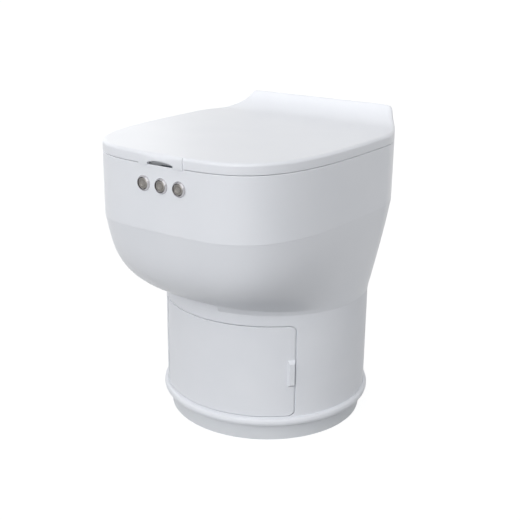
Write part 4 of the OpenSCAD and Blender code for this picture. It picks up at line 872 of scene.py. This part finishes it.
def push_buttons():
    """Steel bezels with a full bevel, and caps turned with a dished middle and a groove."""
    bezel = fillet([(7.97, -24), (9.5, -24), (9.5, 0), (11.3, 0), (11.3, 0.7), (9.6, 3.0), (9.0, 3.0),
                    (8.7, 0.9), (7.97, 0.6)], [0, 0, 0, 0.1, 0.5, 0.4, 0.2, 0.3, 0], 5)
    cap = fillet([(0.02, 2.0), (3.4, 2.0), (4.0, 2.35), (4.4, 2.35), (4.7, 1.65), (5.3, 1.65), (5.6, 2.35),
                  (7.0, 2.4), (7.9, 1.75), (7.9, -10), (0.02, -10)],
                 [0, 0.4, 0.15, 0.1, 0.1, 0.1, 0.1, 0.3, 0.4, 0, 0], 3)
    for side, x in BUTTON_XS.items():
        centre = (x, -FRONT, BUTTON_Z)
        make_piece(f"bezel_{side}", *turned(bezel, BUTTON_SIDES, "Y", centre), POLISHED_STEEL, "housing",
                   "button_steel", ["button_bezels"], centre, crisp=45)
        make_piece(f"cap_{side}", *turned(cap, BUTTON_SIDES, "Y", centre), TURNED_STEEL, f"button_{side}",
                   "button_steel", [f"button_cap_{side}"], centre, crisp=45)


# Bowl, liner and cartridge

BOWL_A, BOWL_B, THROAT_R, WEB_Y, THROAT_Z = 111.0, 141.0, 73.0, -30.0, 285.0
BOWL_STATIONS = np.array([
    [THROAT_R, THROAT_R, WEB_Y, THROAT_Z],
    [THROAT_R + 2, THROAT_R + 5, WEB_Y - 7, THROAT_Z + 25],
    [BOWL_A * 0.78, BOWL_B * 0.70, BOWL_Y + 20, THROAT_Z + 65],
    [BOWL_A * 0.90, BOWL_B * 0.865, BOWL_Y + 8, DECK_Z - 45],
    [BOWL_A * 0.975, BOWL_B * 0.965, BOWL_Y + 1, DECK_Z - 16],
    [BOWL_A, BOWL_B, BOWL_Y, DECK_Z + 1]])
BOWL_T, BOWL_RIM_OUT, BOWL_RIM_R, BOWL_RIM_T = 3.0, 14, 0.6, 2
OVAL_COUNT = 360
OVAL_TURN = full_turn(OVAL_COUNT)


def bowl_size(z):
    """Half width, half length and centre of the bowl at a height, smoothed over its stations."""
    window = np.linspace(-10, 10, 9)
    heights = np.clip(z + window, THROAT_Z, DECK_Z + 1)
    return [float(np.mean(np.interp(heights, BOWL_STATIONS[:, 3], BOWL_STATIONS[:, k]))) for k in range(3)]


def oval(a, b, y, z, wave=0.0):
    """Ring of an oval, drawn in by a wave that may differ from point to point."""
    return np.stack([(a - wave) * np.sin(OVAL_TURN), y - (b - wave) * np.cos(OVAL_TURN),
                     np.broadcast_to(z, OVAL_TURN.shape)], 1)


def mouth_ring(out, z):
    """Oval at this distance outside the bowl's mouth."""
    return oval(BOWL_A + out, BOWL_B + out, BOWL_Y, z)


def bowl_shell():
    """Bowl that narrows to its throat, with a flat rim that lies on the deck."""
    heights = np.linspace(THROAT_Z, DECK_Z, 40)
    sizes = [bowl_size(z) for z in heights]
    rings = [oval(a - BOWL_T, b - BOWL_T, y, z) for (a, b, y), z in zip(sizes[::-1], heights[::-1])]
    rings += [oval(a, b, y, z) for (a, b, y), z in zip(sizes, heights)]
    rim = ((BOWL_RIM_OUT, 0), (BOWL_RIM_OUT, BOWL_RIM_T - BOWL_RIM_R),
           (BOWL_RIM_OUT - BOWL_RIM_R, BOWL_RIM_T), (1, BOWL_RIM_T), (-BOWL_T + BOWL_RIM_R, 1.2))
    rings += [mouth_ring(out, DECK_Z + up) for out, up in rim]
    make_piece("bowl_shell", *skin(rings), GLOSS_ABS, "housing", "white_plastic", ["bowl"], crisp=40)


FILM_TOP_Z, FOLD_Z, FILM_END_Z, WEB_X = 447.3, 262.0, 192.0, 108.0
# How far the film hangs inside the bowl's outside, half the flat web's thickness, and the pleats' depth
FILM_IN, WEB_HALF_T, PLEAT_DEEP = 3.6, 0.3, 5.0


def pleats(depth):
    """Folds that the film falls into, deeper towards the throat."""
    waves = ((17, 0.4, 0.5), (29, 2.1, 0.3), (43, 4.0, 0.2))
    total = sum(share * np.sin(n * OVAL_TURN + phase + depth * 2.2 * (1 + n / 30))
                for n, phase, share in waves)
    return (0.5 + 0.5 * total) * smooth_step(depth) * PLEAT_DEEP


def liner():
    """Liner film: over the cartridge's lip, down the bowl in soft pleats and flat between the jaws."""
    rings = [mouth_ring(out, z) for out, z in ((0.6, FILM_TOP_Z), (-1.2, 445.5), (-3.2, 442.0))]
    for z in np.linspace(DECK_Z - 2, THROAT_Z, 60):
        a, b, y = bowl_size(z)
        depth = (DECK_Z - z) / (DECK_Z - THROAT_Z)
        rings.append(oval(a - FILM_IN, b - FILM_IN, y, z, pleats(depth)))
    a, b, _ = bowl_size(THROAT_Z)
    for t in np.linspace(0, 1, 14)[1:]:
        ease = float(smooth_step(np.array(t)))
        half_w = a - FILM_IN + (WEB_X - a + FILM_IN) * ease
        half_t = (b - FILM_IN) * (1 - ease) + WEB_HALF_T * ease
        z = THROAT_Z + (FOLD_Z - THROAT_Z) * t
        rings.append(oval(half_w, half_t, WEB_Y, z, pleats(1.0) * (1 - ease)))
    rings.append(oval(WEB_X, WEB_HALF_T, WEB_Y, FILM_END_Z))
    film = make_piece("liner_bag", *skin(rings, False), FILM, "housing", "liner_film", ["liner_film"],
                      crisp=80)


def film_folds():
    """Film in store: pleated tight into the cartridge, so that its top shows as many ridges."""
    inner_gap, outer_gap, pack_z = 3.3, 18.7, 443.5
    ridges, ridge_z, ridge_deep, ripple = 34, 448.9, 0.7, 0.12
    rings = [mouth_ring(outer_gap, pack_z)]
    for k in range(ridges + 1):
        out = outer_gap + (inner_gap - outer_gap) * k / ridges
        high = ridge_z - (ridge_deep if k % 2 == 0 else 0.0)
        rings.append(mouth_ring(out, high + ripple * np.sin(23 * OVAL_TURN + k)))
    rings.append(mouth_ring(inner_gap, pack_z))
    make_piece("film_folds", *skin(rings), FOLDED_FILM, "housing", "liner_film", ["film_pack"], crisp=80)


# Stage

# Level of the plain light from all round, and the glow of the floor where the eye or a gloss sees it
AMBIENT, FLOOR_GLOW = 0.4, 0.92
# Radius of the floor in metres, and its sides
FLOOR_REACH, FLOOR_SIDES = 60, 64
# Wide soft lamps: direction round from the front, height in degrees, strength and width in degrees
LAMPS = (("key", 35, 45, 0.52, 60), ("front_fill", 0, 15, 1.27, 60), ("low_right", 20, 0, 0.86, 60),
         ("side_fill", -110, 15, 0.62, 60), ("rear_fill", 130, 5, 0.49, 60), ("sparkle", -65, 54, 0.12, 15))


def seen_rays(tree):
    """Value of 1 for what the camera, a gloss or clear film sees, and 0 for the light on the object."""
    path = add(tree, "ShaderNodeLightPath").outputs
    seen = add(tree, "ShaderNodeMath", {0: path["Is Camera Ray"], 1: path["Is Glossy Ray"]},
               operation="MAXIMUM")
    seen = add(tree, "ShaderNodeMath", {0: seen.outputs[0], 1: path["Is Transmission Ray"]},
               operation="MAXIMUM")
    return seen.outputs[0]


def stage_and_light():
    """Pale floor and background, which glow only where they are seen, and the soft lamps."""
    made, tree = new_material("pale_floor")
    lift = add(tree, "ShaderNodeMath", {0: seen_rays(tree), 1: FLOOR_GLOW}, operation="MULTIPLY")
    glow = add(tree, "ShaderNodeEmission", {"Color": (1, 1, 1, 1), "Strength": lift.outputs[0]})
    matt = add(tree, "ShaderNodeBsdfDiffuse", {"Color": colour("6E7072")})
    both = add(tree, "ShaderNodeAddShader")
    tree.links.new(matt.outputs[0], both.inputs[0])
    tree.links.new(glow.outputs[0], both.inputs[1])
    finish_material(tree, both)
    corners = [(FLOOR_REACH * math.cos(t), FLOOR_REACH * math.sin(t), 0) for t in full_turn(FLOOR_SIDES)]
    mesh = bpy.data.meshes.new("floor")
    mesh.from_pydata(corners, [], [list(range(FLOOR_SIDES))])
    mesh.materials.append(made)
    put("floor", mesh)

    world = bpy.data.worlds.new("studio")
    bpy.context.scene.world = world
    world.use_nodes = True
    tree = world.node_tree
    tree.nodes.clear()
    level = add(tree, "ShaderNodeMapRange", {"Value": seen_rays(tree), "To Min": AMBIENT, "To Max": 1.0})
    sky = add(tree, "ShaderNodeBackground", {"Color": (1, 1, 1, 1), "Strength": level.outputs[0]})
    out = add(tree, "ShaderNodeOutputWorld")
    tree.links.new(sky.outputs[0], out.inputs["Surface"])

    for name, round_from_front, height, strength, width in LAMPS:
        lamp = bpy.data.lights.new(name, "SUN")
        lamp.energy = strength
        lamp.angle = math.radians(width)
        put(name, lamp).rotation_euler = (math.radians(90 - height), 0, math.radians(round_from_front))


# Camera: direction round from the front, turn from the middle, tilt and roll in degrees, distance and
# height in metres, and lens and sensor width in millimetres
CAMERA_DIR, CAMERA_YAW, CAMERA_PITCH, CAMERA_ROLL = 33.704, 0.481, 18.579, 0.71
CAMERA_REACH, CAMERA_HEIGHT, LENS, SENSOR = 1.4588, 0.7366, 63.9, 36


def camera():
    """Camera at the photo's place, found by matching the object's corners in it."""
    azimuth, yaw, pitch, roll = (math.radians(v) for v in (CAMERA_DIR, CAMERA_YAW, CAMERA_PITCH, CAMERA_ROLL))
    heading = azimuth + yaw
    level = math.cos(pitch)
    ahead = Vector((-math.sin(heading) * level, math.cos(heading) * level, -math.sin(pitch)))
    right = Vector((math.cos(heading), math.sin(heading), 0))
    up = right.cross(ahead)
    right, up = right * math.cos(roll) + up * math.sin(roll), up * math.cos(roll) - right * math.sin(roll)
    data = bpy.data.cameras.new("camera")
    data.sensor_width = SENSOR
    data.lens = LENS
    holder = put("camera", data)
    turn = Matrix((right, up, -ahead)).transposed().to_4x4()
    stand = (CAMERA_REACH * math.sin(azimuth), -CAMERA_REACH * math.cos(azimuth), CAMERA_HEIGHT)
    holder.matrix_world = Matrix.Translation(stand) @ turn
    bpy.context.scene.camera = holder


camera()
stage_and_light()
dress_nodes()
housing_band()
housing_bulge()
lid_cover()
lid_knuckles()
seat_ring()
pedestal_wall()
door_leaf()
door_handle()
base_flange()
collar_ring()
push_buttons()
bowl_shell()
liner()
film_folds()

bpy.context.scene.view_settings.view_transform = "Standard"
